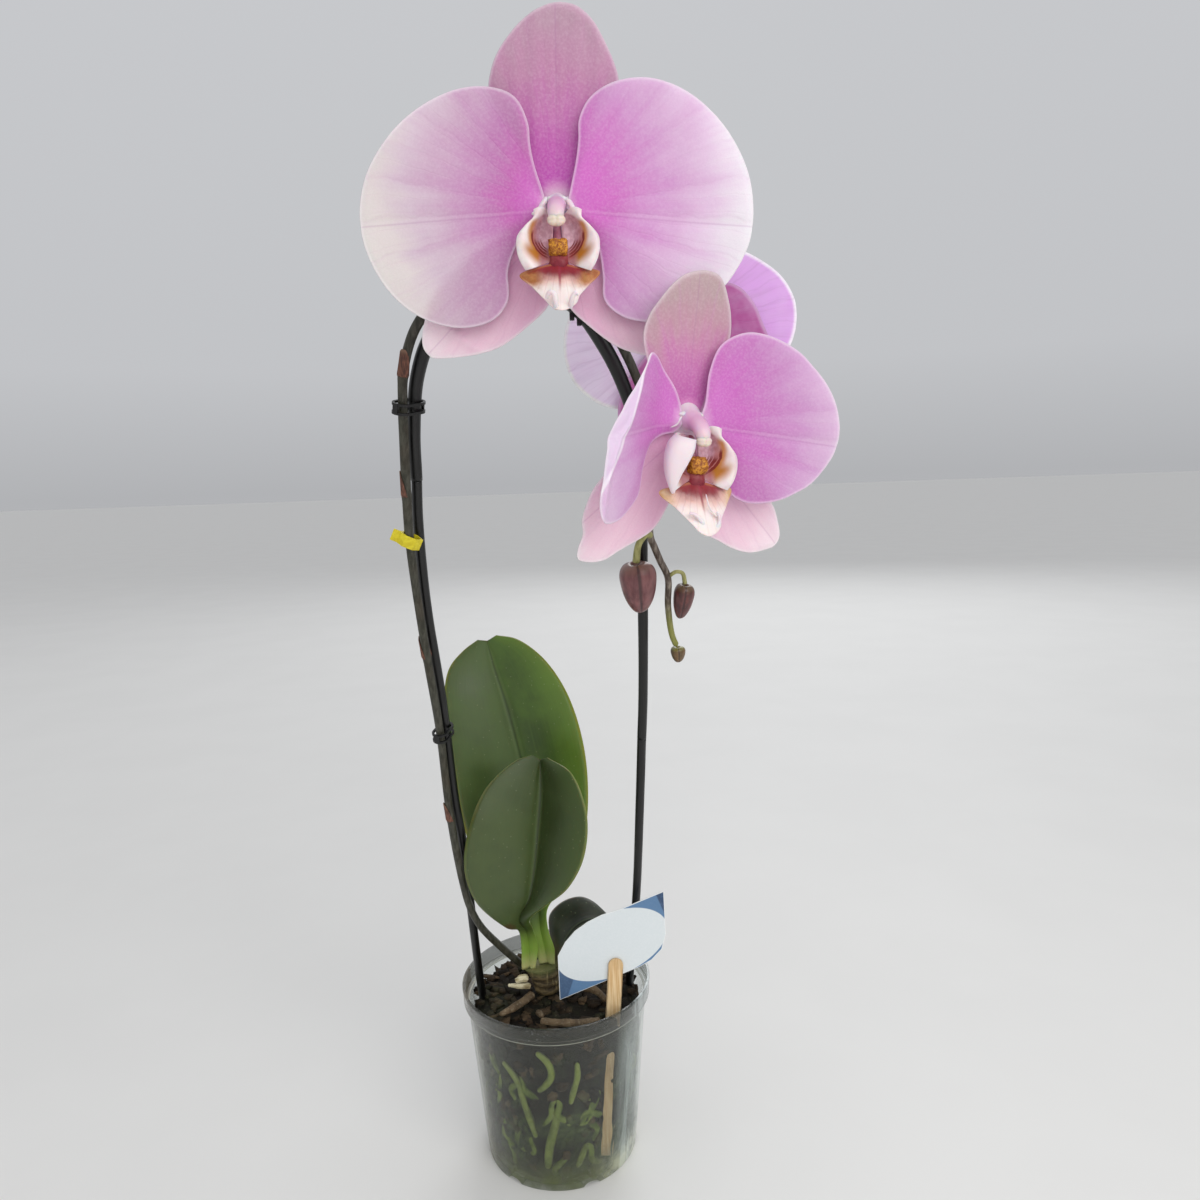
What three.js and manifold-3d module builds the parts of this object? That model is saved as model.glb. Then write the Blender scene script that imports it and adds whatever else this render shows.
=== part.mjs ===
// Potted moth orchid tied to a hoop, in millimetres with Z up.
// The origin is the middle of the underside of the pot, and the flowers face -Y.
import * as THREE from 'three';
import Module from 'manifold-3d';
import { mergeVertices } from 'three/addons/utils/BufferGeometryUtils.js';

const wasm = await Module();
wasm.setup();

// Pot and potting mix
const POT_HEIGHT = 113.4;
const RIM_RADIUS = 60;
const RIM_BAND = 10;
const FOOT_RADIUS = 48.2;
const WALL = 1.5;
const FLOOR = 1.8;
const MIX_TOP = 104;
const GAP = 0.35;

// Hoop
const LEAN = THREE.MathUtils.degToRad(18);
const ROD_RADIUS = 2.6;
const ARCH_RADIUS = 3.3;
const ROD_FOOT = 45;

// Flower stem
const STEM_RADIUS = 2.4;
const STEM_OFFSET = 6;

// Label, standing in one upright plane
const STICK_WIDTH = 9;
const STICK_LENGTH = 129.7;
const STICK_FRONT = -36.7;
const STICK_THICK = 1.8;
const STICK_TILT = THREE.MathUtils.degToRad(4.57);
const CARD_THICK = 0.8;

// Flower outlines, seen from the front, with the column at the origin
const DORSAL_SEPAL = [
  [0, 4.4], [7, 15], [14, 27], [20, 37], [22.3, 44], [20.8, 49.5], [16.1, 58.5], [12.2, 63.8],
  [6.9, 67.3], [0.6, 68.2], [-5.4, 66.7], [-10.8, 63.8], [-16.2, 58.8], [-20.6, 53.1],
  [-23.3, 47.3], [-24.3, 41], [-20.5, 32], [-13, 21], [-6.5, 12],
];
const RIGHT_PETAL = [
  [3.9, 0.8], [5, 6], [7.2, 16], [8.2, 23.5], [8.4, 30], [12.2, 37], [20, 41.6],
  [31.7, 43], [42.4, 40.4], [52.6, 34.6], [61.8, 25.4], [69.2, 11.8], [71.4, -1.7],
  [70.2, -12], [65, -22.5], [58.8, -29.6], [51.5, -34.6], [42.2, -38.2], [33.5, -39.1],
  [24.1, -37.1], [17.6, -31.4], [17, -23], [15, -12], [10.3, -4.8], [6, -3],
];
const LEFT_PETAL = [
  [-3.9, 0.8], [-5.2, 6], [-8.2, 15.2], [-9.5, 21.8], [-10.1, 28.4], [-14.6, 36.8],
  [-24.1, 40.2], [-35.8, 39.4], [-48.6, 33.8], [-59.9, 24], [-69, 10.2], [-71.8, -5.1],
  [-68.4, -19], [-60, -31.4], [-48.3, -38.9], [-35.2, -41.3], [-23.8, -38.2], [-18.6, -31.4],
  [-18.4, -20.8], [-13.8, -9.8], [-9.2, -4.8], [-6, -3],
];
const LATERAL_SEPAL = [
  [-1.9, -3.2], [-1.4, -12], [-1.9, -22], [-4.4, -33], [-11.7, -40.4], [-22.6, -47.9],
  [-30.4, -50.5], [-37.3, -51.6], [-43.9, -52.2], [-49.7, -51.8], [-52.4, -48.5],
  [-52.2, -42.5], [-48, -32], [-38, -21], [-22, -11], [-6, -4],
];
const MIDLOBE = [
  [-13.9, -23.6], [-8, -21.2], [0.4, -19.6], [8, -21], [15.1, -22.3], [11, -27],
  [7.3, -31], [5.8, -34], [1.5, -36.3], [-2, -35.6], [-5, -32.6], [-9.4, -28],
];
const SIDE_LOBE = [
  [-3.9, -4.3], [-7.8, -2.7], [-11.8, -9], [-13.8, -13], [-13.8, -18.4], [-12.1, -22.2],
  [-8, -22.6], [-4, -21], [-3.7, -17.5], [-8.1, -15.4], [-8.6, -11.5],
];
const mirrored = (outline) => outline.map(([x, y]) => [-x, y]);

// The second flower opened later: smaller petals, and a left petal that turns forward
const SECOND_DORSAL = [
  [0, 4.4], [6, 13], [12, 23], [16, 34.6], [15.4, 42], [13.3, 48], [10.8, 53], [7.9, 55.8],
  [2.2, 57], [-6.1, 54.8], [-11.1, 50.7], [-15.5, 45], [-18.7, 39.3], [-20.5, 32],
  [-19, 22], [-11, 12], [-4, 5.6],
];
const SECOND_RIGHT_PETAL = [
  [3.9, 0.8], [5, 9.4], [5.8, 20.8], [9.5, 30.1], [18.8, 35.4], [28, 35.1], [40.2, 30.4],
  [47, 25.2], [53.2, 19.1], [58, 12], [60.8, 4], [61.3, -2.7], [60.1, -8.8], [53.3, -20.1],
  [46.8, -24.9], [40.1, -28.2], [32.7, -29.8], [26.5, -29.7], [20.8, -27.2], [17, -22.9],
  [14, -13], [10, -5], [6, -3],
];
const SECOND_LEFT_PETAL = [
  [-3.9, 0.8], [-7.9, 12.4], [-14.5, 19.8], [-20, 24.6], [-24.5, 25.6], [-28.5, 21.5],
  [-32.5, 17.2], [-38.6, 13.1], [-45.9, 8.3], [-52.1, 2.9], [-56.1, -2.8], [-57.3, -13.1],
  [-57.5, -21.8], [-55.5, -30.5], [-51.6, -34.3], [-45, -35], [-39.2, -34], [-33, -30.5],
  [-28, -26], [-25, -17], [-20, -9], [-12, -4.5], [-6, -3],
];
const SECOND_LEFT_LATERAL = [
  [-1.9, -3.2], [-1.4, -12], [-1.7, -22], [-5.1, -34], [-10.5, -43], [-23.7, -51.9],
  [-29.9, -55.5], [-36.3, -56.2], [-40.6, -54.9], [-40.9, -50.9], [-39.4, -44.9],
  [-40, -38.9], [-38.8, -33], [-36, -26], [-28, -17], [-18, -10], [-6, -4],
];
const SECOND_RIGHT_LATERAL = [
  [1.9, -3.2], [6, -4], [18, -10], [32, -19], [44.2, -31.3], [47.4, -36.8], [51, -47],
  [49.9, -50.4], [45.1, -52.1], [37.4, -53.3], [28.9, -51.4], [21.3, -47.9], [13, -44],
  [6, -37], [2, -24], [1.4, -12],
];

// The third flower's sepal that shows beside the second flower
const THIRD_LEFT_LATERAL = [
  [-1.9, -3.2], [-6, -12], [-14, -22], [-24, -31], [-34, -36.5], [-42, -36], [-47, -30],
  [-47.9, -22.4], [-47.3, -14], [-46.9, -5], [-45, 2.5], [-41, 9.9], [-33.7, 15.5], [-24, 14],
  [-13, 7.5], [-5, 0.5],
];

const FIRST_SHAPES = {
  dorsal: DORSAL_SEPAL,
  leftPetal: LEFT_PETAL,
  rightPetal: RIGHT_PETAL,
  leftLateral: LATERAL_SEPAL,
  rightLateral: mirrored(LATERAL_SEPAL),
};

// Flowers: where each one sits, how it is turned in degrees, and its size.
// A bend turns the outer part of a petal forward beyond a hinge line.
const FLOWERS = [
  {
    name: 'flower_1',
    centre: [12.2, -190.7, 528.5],
    yaw: -4.3,
    nod: 6.5,
    roll: -1.9,
    size: 1.024,
    lipSize: 1,
    shapes: FIRST_SHAPES,
    bendLeft: 0,
    bendRight: 0,
    stalk: [[6.3, -138, 520.3], [7.5, -149, 527], [10, -170, 531]],
  },
  {
    name: 'flower_2',
    centre: [60.2, -195.5, 447.8],
    yaw: 17,
    nod: 9.7,
    roll: -2.6,
    size: 0.986,
    lipSize: 1.1,
    shapes: {
      dorsal: SECOND_DORSAL,
      leftPetal: SECOND_LEFT_PETAL,
      rightPetal: SECOND_RIGHT_PETAL,
      leftLateral: SECOND_LEFT_LATERAL,
      rightLateral: SECOND_RIGHT_LATERAL,
    },
    bendLeft: 38,
    bendRight: 15,
    stalk: [[54.6, -120.6, 456.6], [55.5, -135, 461], [56.5, -160, 460]],
  },
  {
    name: 'flower_3',
    centre: [75.5, -80, 503.1],
    yaw: 176.2,
    nod: 7.5,
    roll: -16,
    size: 0.84,
    lipSize: 1,
    shapes: { ...FIRST_SHAPES, leftLateral: THIRD_LEFT_LATERAL },
    bendLeft: 0,
    bendRight: 0,
    stalk: [[40, -126.6, 495], [49, -120, 506], [64, -107, 511], [73, -95, 508]],
  },
];

const v = (x, y, z) => new THREE.Vector3(x, y, z);
const path = (points) => {
  return new THREE.CatmullRomCurve3(points.map((p) => v(...p)), false, 'centripetal');
};
// Value between numbers spread evenly over 0..1
const between = (values, t) => {
  const f = t * (values.length - 1);
  const i = Math.min(Math.floor(f), values.length - 2);
  return values[i] + (values[i + 1] - values[i]) * (f - i);
};

// Turns a closed mesh outward and gives it normals.
function finish(positions, index) {
  let volume = 0;
  const corner = (i) => v(...positions.slice(3 * index[i], 3 * index[i] + 3));
  for (let i = 0; i < index.length; i += 3) {
    volume += corner(i).dot(corner(i + 1).cross(corner(i + 2)));
  }
  const geometry = new THREE.BufferGeometry();
  geometry.setAttribute('position', new THREE.Float32BufferAttribute(positions, 3));
  geometry.setIndex(volume < 0 ? index.slice().reverse() : index);
  geometry.computeVertexNormals();
  return geometry;
}

// Closed skin over a row of rings that all have the same number of points.
function loft(rings) {
  const n = rings[0].length;
  const positions = rings.flat().flatMap((p) => [p.x, p.y, p.z]);
  const index = [];
  for (let i = 0; i + 1 < rings.length; i++) {
    for (let j = 0; j < n; j++) {
      const a = i * n + j;
      const b = i * n + ((j + 1) % n);
      index.push(a, b, b + n, a, b + n, a + n);
    }
  }
  for (const end of [0, rings.length - 1]) {
    const centre = v(0, 0, 0);
    for (const p of rings[end]) {
      centre.addScaledVector(p, 1 / n);
    }
    const c = positions.length / 3;
    positions.push(centre.x, centre.y, centre.z);
    for (let j = 0; j < n; j++) {
      const a = end * n + j;
      const b = end * n + ((j + 1) % n);
      if (end === 0) {
        index.push(c, b, a);
      } else {
        index.push(c, a, b);
      }
    }
  }
  return finish(positions, index);
}

// Round rod along a curve; radii are spread evenly over its length.
function rod(points, radii, sides = 8, steps = 12) {
  const curve = points instanceof THREE.Curve ? points : path(points);
  const frames = curve.computeFrenetFrames(steps, false);
  const rings = [];
  for (let i = 0; i <= steps; i++) {
    const centre = curve.getPointAt(i / steps);
    const r = between(radii, i / steps);
    const ring = [];
    for (let j = 0; j < sides; j++) {
      const angle = (j / sides) * 2 * Math.PI;
      const p = centre.clone().addScaledVector(frames.normals[i], r * Math.cos(angle));
      ring.push(p.addScaledVector(frames.binormals[i], r * Math.sin(angle)));
    }
    rings.push(ring);
  }
  return loft(rings);
}

// Leaf from three rows of points: left edge, midrib and right edge.
// The rows start at the foot, where the leaf is a thick channel.
function leaf(left, middle, right, thickness, steps) {
  const rows = [left, middle, right].map(path);
  const rings = [];
  for (let i = 0; i <= steps; i++) {
    const t = i / steps;
    const [a, m, b] = rows.map((row) => row.getPoint(t));
    const along = rows[1].getTangent(t);
    const upper = [];
    const lower = [];
    for (let k = -3; k <= 3; k++) {
      const s = Math.abs(k) / 3;
      const edge = k < 0 ? a : b;
      const across = k < 0 ? m.clone().sub(a) : b.clone().sub(k === 0 ? a : m);
      const normal = across.clone().cross(along).normalize();
      const p = m.clone().lerp(edge, s).addScaledVector(normal, 0.2 * across.length() * s * (1 - s));
      const half = 0.5 * between(thickness, t) * (1 - 0.55 * s * s);
      upper.push(p.clone().addScaledVector(normal, half));
      lower.unshift(p.clone().addScaledVector(normal, -half));
    }
    rings.push([...upper, ...lower]);
  }
  return loft(rings);
}

// Thin curved plate inside a closed outline, thinner at its rim.
// The shape function gives the height of the plate at (x, y).
function plate(outline, centre, shape, half, count = 24, rings = [0.35, 0.7, 1]) {
  const loop = new THREE.CatmullRomCurve3(outline.map(([x, y]) => v(x, y, 0)), true, 'centripetal');
  const rim = loop.getSpacedPoints(count).slice(0, count);
  const sheet = [v(centre[0], centre[1], 0)];
  for (const s of rings) {
    sheet.push(...rim.map((p) => v(centre[0], centre[1], 0).lerp(p, s)));
  }
  const n = sheet.length;
  const positions = [];
  for (const side of [1, -1]) {
    sheet.forEach((p, i) => {
      const edge = i > n - 1 - count ? 0.5 : 1;
      positions.push(p.x, p.y, shape(p.x, p.y) + side * half * edge);
    });
  }
  const index = [];
  for (const [start, flip] of [[0, false], [n, true]]) {
    const add = (a, b, c) => index.push(start + a, start + (flip ? c : b), start + (flip ? b : c));
    for (let j = 0; j < count; j++) {
      const k = (j + 1) % count;
      add(0, 1 + j, 1 + k);
      for (let i = 0; i + 1 < rings.length; i++) {
        const a = 1 + i * count;
        add(a + j, a + count + j, a + count + k);
        add(a + j, a + count + k, a + k);
      }
    }
  }
  const last = n - count;
  for (let j = 0; j < count; j++) {
    const a = last + j;
    const b = last + ((j + 1) % count);
    index.push(a, a + n, b + n, a, b + n, b);
  }
  return finish(positions, index);
}

function solid(geometry) {
  const bare = geometry.clone();
  bare.deleteAttribute('normal');
  bare.deleteAttribute('uv');
  const merged = mergeVertices(bare, 1e-4);
  return new wasm.Manifold(new wasm.Mesh({
    numProp: 3,
    vertProperties: new Float32Array(merged.attributes.position.array),
    triVerts: new Uint32Array(merged.index.array),
  }));
}

function skin(manifold) {
  const mesh = manifold.getMesh();
  return finish(Array.from(mesh.vertProperties), Array.from(mesh.triVerts));
}

const join = (geometries) => skin(geometries.map(solid).reduce((a, b) => a.add(b)));
const cut = (geometry, tools) => skin(tools.map(solid).reduce((a, b) => a.subtract(b), solid(geometry)));

const orchid = new THREE.Group();
orchid.name = 'potted_moth_orchid';

function add(name, geometry, color, roughness = 0.6) {
  const material = new THREE.MeshStandardMaterial({ color, roughness, metalness: 0 });
  material.side = THREE.FrontSide;
  const mesh = new THREE.Mesh(geometry, material);
  mesh.name = name;
  orchid.add(mesh);
  return mesh;
}

// Pot: flat floor with drain holes, and arched notches at its foot
const innerRadius = (z) => 46.8 + (8.8 * z) / 103;
const potProfile = [
  [0, 0], [FOOT_RADIUS - 0.6, 0], [FOOT_RADIUS, 0.8], [innerRadius(102.6) + WALL, 102.4],
  [RIM_RADIUS - 0.5, POT_HEIGHT - RIM_BAND], [RIM_RADIUS - 0.3, POT_HEIGHT - 1.8],
  [RIM_RADIUS, POT_HEIGHT - 1.2], [RIM_RADIUS, POT_HEIGHT], [RIM_RADIUS - 1.7, POT_HEIGHT],
  [RIM_RADIUS - 1.9, 105], [innerRadius(103), 103], [innerRadius(5), 5],
  [43.5, FLOOR], [0, FLOOR],
];
const lathe = (profile, sides) => {
  const geometry = new THREE.LatheGeometry(profile.map(([r, z]) => new THREE.Vector2(r, z)), sides);
  return geometry.rotateX(Math.PI / 2);
};
const potTools = [];
for (let i = 0; i < 6; i++) {
  const angle = ((i + 0.5) / 6) * 2 * Math.PI;
  const hole = new THREE.CylinderGeometry(4.5, 4.5, 10, 12).rotateX(Math.PI / 2);
  potTools.push(hole.translate(30 * Math.cos(angle), 30 * Math.sin(angle), 0));
  const notch = new THREE.CylinderGeometry(4, 4, 12, 12).rotateZ(Math.PI / 2);
  notch.scale(1, 1.3, 0.8).translate(FOOT_RADIUS - 0.5, 0, 0);
  potTools.push(notch.rotateZ(angle + 0.35));
}
add('nursery_pot', cut(lathe(potProfile, 48), potTools), 0xa9b4ae, 0.15);

// Points of the hoop are given as [x, z] in its leaning plane.
const hoopPoint = (x, z, front = 0) => [x, -(z - 100) * Math.tan(LEAN) - front, z];
const leftRod = [[-42, ROD_FOOT], [-47.5, 100], [-51.2, 223], [-53.2, 251], [-54.9, 314],
  [-58, 370], [-57.8, 411], [-56.5, 430.7]];
const rightRod = [[53, 284.7], [52.4, 244], [50.7, 171], [48.4, 140], [46.1, 90], [41, ROD_FOOT]];
const arch = [[-56.5, 431.3], [-55.4, 453], [-51.5, 477], [-43.5, 494], [-30, 506], [-12, 512.5],
  [4, 512], [14, 508.5], [23, 502.3], [32.5, 489.5], [41, 474], [47.5, 455], [50.8, 420], [52.8, 359],
  [53.4, 308], [53, 285.3]];
const hoopPath = (points) => path(points.map(([x, z]) => hoopPoint(x, z)));
const leftRodSolid = rod(hoopPath(leftRod), [ROD_RADIUS, ROD_RADIUS], 10, 24);
const rightRodSolid = rod(hoopPath(rightRod), [ROD_RADIUS, ROD_RADIUS], 10, 16);
const teeth = [[19.2, 501.2], [22.4, 499]].map(([x, z]) => {
  return new THREE.BoxGeometry(2.2, 3, 5).translate(...hoopPoint(x, z));
});
const archRadii = [3, 3.2, ARCH_RADIUS, ARCH_RADIUS, 3.1, 2.9, 2.7, 2.5, 2.5];
const archSolid = rod(hoopPath(arch), archRadii, 10, 44);
add('support_arch', join([archSolid, ...teeth]), 0x1c1d1b, 0.45);
add('hoop_rod_left', leftRodSolid, 0x1c1d1b, 0.45);
add('hoop_rod_right', rightRodSolid, 0x1c1d1b, 0.45);

// Label: card behind a flat stick that stands in the mix
const stickShape = new THREE.Shape();
stickShape.moveTo(-STICK_WIDTH / 2, 0);
stickShape.lineTo(STICK_WIDTH / 2, 0);
stickShape.lineTo(STICK_WIDTH / 2, STICK_LENGTH - STICK_WIDTH / 2);
stickShape.absarc(0, STICK_LENGTH - STICK_WIDTH / 2, STICK_WIDTH / 2, 0, Math.PI, false);
const upright = (shape, front, thick) => {
  const options = { depth: thick, bevelEnabled: false, curveSegments: 6 };
  return new THREE.ExtrudeGeometry(shape, options).rotateX(Math.PI / 2).translate(0, front + thick, 0);
};
const stickAt = (shape, front, thick) => {
  return upright(shape, front, thick).rotateY(STICK_TILT).translate(26, 0, 12);
};
const bar = (width, length) => {
  const shape = new THREE.Shape();
  shape.moveTo(-width / 2, -GAP);
  shape.lineTo(width / 2, -GAP);
  shape.lineTo(width / 2, length);
  shape.lineTo(-width / 2, length);
  return shape;
};
add('label_stick', stickAt(stickShape, STICK_FRONT, STICK_THICK), 0xd9b98c, 0.75);
const cardOutline = [
  [1.5, 116.3], [1.3, 144.5], [6, 153], [12.2, 159.8], [20, 165], [28.5, 168.8], [40, 171.8],
  [66.5, 181.5], [67.1, 154.1], [64.4, 144.6], [58.1, 138.2], [50.7, 134.2], [43.5, 131.6],
];
const cardShape = new THREE.Shape(cardOutline.map(([x, z]) => new THREE.Vector2(x, z)));
const cardFront = STICK_FRONT + STICK_THICK + 0.3;
add('label_card', upright(cardShape, cardFront, CARD_THICK), 0xe8ebef, 0.5);

// Roots that run down between the mix and the wall, given as [x, y, z, radius]
const wallRoots = [
  ['wall_root_1', [[-6, -50.9, 54.5], [-3.9, -50.6, 48.3], [-6, -49.7, 39.2], [-8.8, -48.1, 28.3],
    [-10.7, -46.5, 12.6]], 2.9, 0x7f9160],
  ['wall_root_2', [[-36.1, -39.6, 81.5], [-30.2, -43.7, 76], [-25.7, -45.7, 68.7],
    [-24.3, -45.8, 60.8], [-20.7, -46.3, 47.7], [-17, -46.5, 34.4]], 2.3, 0x86865c],
  ['wall_root_3', [[-14.5, -52.7, 93.9], [-7.7, -53.5, 87.5], [-5.7, -53.1, 78.7],
    [-9.5, -51.9, 71.8], [-14.5, -50.2, 67.1]], 2.3, 0x9fb583],
  ['wall_root_4', [[10.5, -53, 85.6], [10.2, -52, 75.4], [7.5, -51.6, 66.5],
    [5.5, -51.5, 58]], 2.1, 0x9fb583],
  ['wall_root_5', [[14.8, -46.7, 27.7], [11.5, -47, 20.3], [8.2, -47, 12.6]], 2.2, 0x8f9f70],
];
// Keeps a root just inside the wall.
const inside = ([x, y, z], r) => {
  const reach = innerRadius(z) - r - 0.45;
  const k = reach / Math.hypot(x, y);
  return [x * k, y * k, z];
};
const mixTools = [
  rod(hoopPath([[-41.4, ROD_FOOT - 6], ...leftRod.slice(1, 3)]), [ROD_RADIUS + GAP, ROD_RADIUS + GAP], 10, 12),
  rod(hoopPath([...rightRod.slice(2, 5), [40.3, ROD_FOOT - 6]]), [ROD_RADIUS + GAP, ROD_RADIUS + GAP], 10, 12),
  stickAt(bar(STICK_WIDTH + 2 * GAP, STICK_LENGTH), STICK_FRONT - GAP, STICK_THICK + 2 * GAP),
];
for (const [name, points, r, color] of wallRoots) {
  const curve = path(points.map((p) => inside(p, r)));
  add(name, rod(curve, [r * 0.7, r, r, r, r * 0.7], 8, 12), color);
  mixTools.push(rod(curve, [r + GAP, r + GAP], 8, 12));
}
const mixProfile = [
  [0, FLOOR + GAP], [43.2, FLOOR + GAP], [innerRadius(5) - GAP, 5.2],
  [innerRadius(100) - GAP, 100], [innerRadius(MIX_TOP) - 2.2, MIX_TOP], [0, MIX_TOP],
];
add('bark_mix', cut(lathe(mixProfile, 48), mixTools), 0x3b3226, 0.95);

// Short ridged stem at the crown
const crownRings = [];
const crownSteps = [[104.3, 0.9], [106.5, 1], [108.6, 0.93], [111, 1], [113.4, 0.93], [116, 1],
  [118.5, 0.94], [121, 0.9]];
for (const [z, swell] of crownSteps) {
  const t = (z - 104.3) / 16.7;
  const ring = [];
  for (let j = 0; j < 14; j++) {
    const angle = (j / 14) * 2 * Math.PI;
    const x = -6 - 4.5 * t * t + (8.5 + 2.5 * t * t) * swell * Math.cos(angle);
    ring.push(v(x, -2 + 8 * swell * Math.sin(angle), z));
  }
  crownRings.push(ring);
}
add('stem_base', loft(crownRings), 0x6f6a4e, 0.8);
add('old_leaf_base_upper', rod([[-18.2, -7.5, 116], [-22, -9, 117.2], [-26, -9.5, 115.6]],
  [2.3, 2.2, 1.5], 8, 6), 0xd8cfa6);
add('old_leaf_base_lower', rod([[-16.4, -7.5, 110.8], [-23, -8, 111.6], [-31, -6.5, 111.8]],
  [1.7, 1.8, 0.8], 8, 6), 0xc3cda0);

// Leaves
add('leaf_back', leaf(
  [[-9.4, -2, 121.4], [-9.6, -1, 140], [-10, 0, 158], [-22, 2, 171], [-45, 1, 190], [-54, 0, 216],
    [-58.5, 1, 253], [-62.5, 8, 296], [-59, 14, 314], [-50, 19, 324], [-41, 22, 330]],
  [[-4.7, 3.5, 121.4], [-4.7, 4, 140], [-4.5, 6, 158], [-5, 9, 170], [-7.5, 11, 192],
    [-12, 13, 222], [-17, 16, 254], [-25, 19, 290], [-31, 21, 313], [-34, 22, 326], [-35.5, 22.6, 331.5]],
  [[0, -2, 121.4], [0.2, -1, 140], [1, 0, 158], [10, 2, 172], [20, 1, 197], [24.6, 0, 229],
    [23, 2, 264], [14, 8, 296], [0, 14, 318], [-16, 19, 330], [-29, 22, 332.5]],
  [3.6, 3.4, 3.2, 2.8, 2.4, 2.2, 2, 2, 1.9, 1.7, 1.4],
  20,
), 0x5b7a38, 0.45);
add('leaf_front', leaf(
  [[-21.6, -6, 121.4], [-21.4, -7, 136], [-22.5, -11, 150], [-29, -26, 160], [-45, -38, 183],
    [-50.5, -44, 205], [-47.5, -46, 229], [-37, -38, 252], [-19, -31, 266], [-9, -29, 268.5]],
  [[-16.7, -1, 121.4], [-16.7, -2, 136], [-18, -7, 150], [-21, -20, 163], [-14, -27.5, 180],
    [-10, -29.5, 200], [-7, -30, 224], [-4.5, -29, 247], [-4, -28, 261], [-4, -28, 267.5]],
  [[-11.8, -6, 121.4], [-12.2, -7, 136], [-13.5, -12, 151], [-14, -31, 168], [-3, -43, 182],
    [9.5, -54, 197], [18.3, -60, 217], [20.6, -60, 243], [14, -52, 263], [0, -34, 268]],
  [3.6, 3.4, 3.2, 2.8, 2.4, 2.2, 2, 2, 1.9, 1.5],
  20,
), 0x64804a, 0.45);
add('leaf_old', leaf(
  [[-0.5, 7.5, 114], [-3, 14, 131], [-3, 19, 144], [6, 23, 151], [18, 25, 153], [28, 24, 148],
    [36, 22, 138]],
  [[1.6, 4, 114], [4, 7, 124], [9, 10, 133], [17, 12, 140], [27, 13, 142], [37, 13, 138],
    [44, 13, 130]],
  [[3.2, -0.5, 114], [8, 1, 120], [15, -1, 126], [24, -3, 129], [34, -3, 129], [42, -1, 126],
    [46, 5, 124]],
  [3, 2.6, 2.2, 2, 1.8, 1.6, 1.2],
  14,
), 0x2f3a22, 0.5);

// Roots on top of the mix
const topRoots = [
  ['surface_root_1', [[-15, -10.8, 107], [-23.2, -20, 107], [-32.2, -28.5, 107.2], [-35.5, -30.5, 107]],
    [2.5, 2.5, 2.2, 1.6], 0x9a7d55],
  ['surface_root_2', [[4.4, -16, 107], [9, -13.6, 109], [14.5, -12.5, 110.5], [23.8, -14.8, 109.5],
    [30.7, -23.5, 106.7]], [2.3, 2.4, 2.4, 2.2, 1.8], 0x8d8467],
  ['surface_root_3', [[-10.9, -39.5, 106.7], [1, -43.5, 107.2], [13, -44.5, 107], [25, -42.9, 106.6]],
    [1.7, 2.2, 2.2, 1.6], 0xb4a37f],
  ['surface_root_4', [[-12.6, -29, 106.6], [-10.8, -32.3, 106.8], [-9.4, -35.6, 106.5]],
    [1.6, 1.9, 1.4], 0xb9ab88],
];
for (const [name, points, radii, color] of topRoots) {
  add(name, rod(points, radii, 8, 10), color, 0.8);
}

// Flower stem: up beside the left rod, over the arch, and down past its right side
const stemCurve = path([
  [-17, 6.6, 113], [-25, 1, 124], [-35, -10, 141], [-45, -24, 162], [-49.8, -31.3, 178],
  ...[[-52.6, 197], [-56, 245], [-57, 300], [-60, 347], [-62, 399], [-61, 426], [-59.6, 449]]
    .map(([x, z]) => hoopPoint(x, z, STEM_OFFSET)),
  hoopPoint(-58.6, 464, 5.6), hoopPoint(-56.6, 480, 4.4), hoopPoint(-49, 498.2, 2.2),
  hoopPoint(-33.2, 512.4, 0.8), hoopPoint(-12.5, 519.3, 0), hoopPoint(4.6, 518.8, 0),
  hoopPoint(17, 514.5, 0), hoopPoint(27.6, 507.3, 0), hoopPoint(38.2, 493.3, 0),
  hoopPoint(47.2, 476.8, 0), hoopPoint(54, 456.6, 1.6), hoopPoint(56, 430, 4.6),
  [54.8, -106, 400], [57, -104.5, 394], [60, -102, 387], [64.2, -98.8, 378], [64.6, -94, 363.5],
  [67.1, -88.6, 347], [69.9, -86, 340.3],
]);
const stemRadii = [STEM_RADIUS, STEM_RADIUS, 2.3, 2.3, 2.3, 2.3, 2.1, 1.4, 0.9];
add('flower_stem', rod(stemCurve, stemRadii, 8, 84), 0x5a5a43, 0.55);

// Point and direction on the rising half of the flower stem at a given height
function stemAt(height) {
  let u = 0;
  while (stemCurve.getPointAt(u).z < height) {
    u += 0.0005;
  }
  return { point: stemCurve.getPointAt(u), along: stemCurve.getTangentAt(u) };
}

// Bracts: thin pointed scales that wrap the stem at its joints
[[243, 200], [343, 150], [426, 160], [479, 200]].forEach(([height, facing], i) => {
  const { point, along } = stemAt(height);
  const side = v(0, 0, 1).cross(along).normalize();
  const turn = new THREE.Matrix4().makeBasis(side, along.clone().cross(side), along);
  const rings = [];
  for (let k = 0; k <= 5; k++) {
    const s = k / 5;
    const open = THREE.MathUtils.degToRad(118 * Math.sqrt(1 - 0.97 * s));
    const r = STEM_RADIUS + 0.35 + 0.5 * s * s;
    const wall = 0.7 - 0.3 * s;
    const outer = [];
    const inner = [];
    for (let j = -3; j <= 3; j++) {
      const angle = THREE.MathUtils.degToRad(facing) + (open * j) / 3;
      outer.push(v((r + wall) * Math.cos(angle), (r + wall) * Math.sin(angle), 12 * s - 3));
      inner.unshift(v(r * Math.cos(angle), r * Math.sin(angle), 12 * s - 3));
    }
    rings.push([...outer, ...inner]);
  }
  add(`bract_${i + 1}`, loft(rings).applyMatrix4(turn).translate(...point), 0x8a5f4c, 0.7);
});

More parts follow.
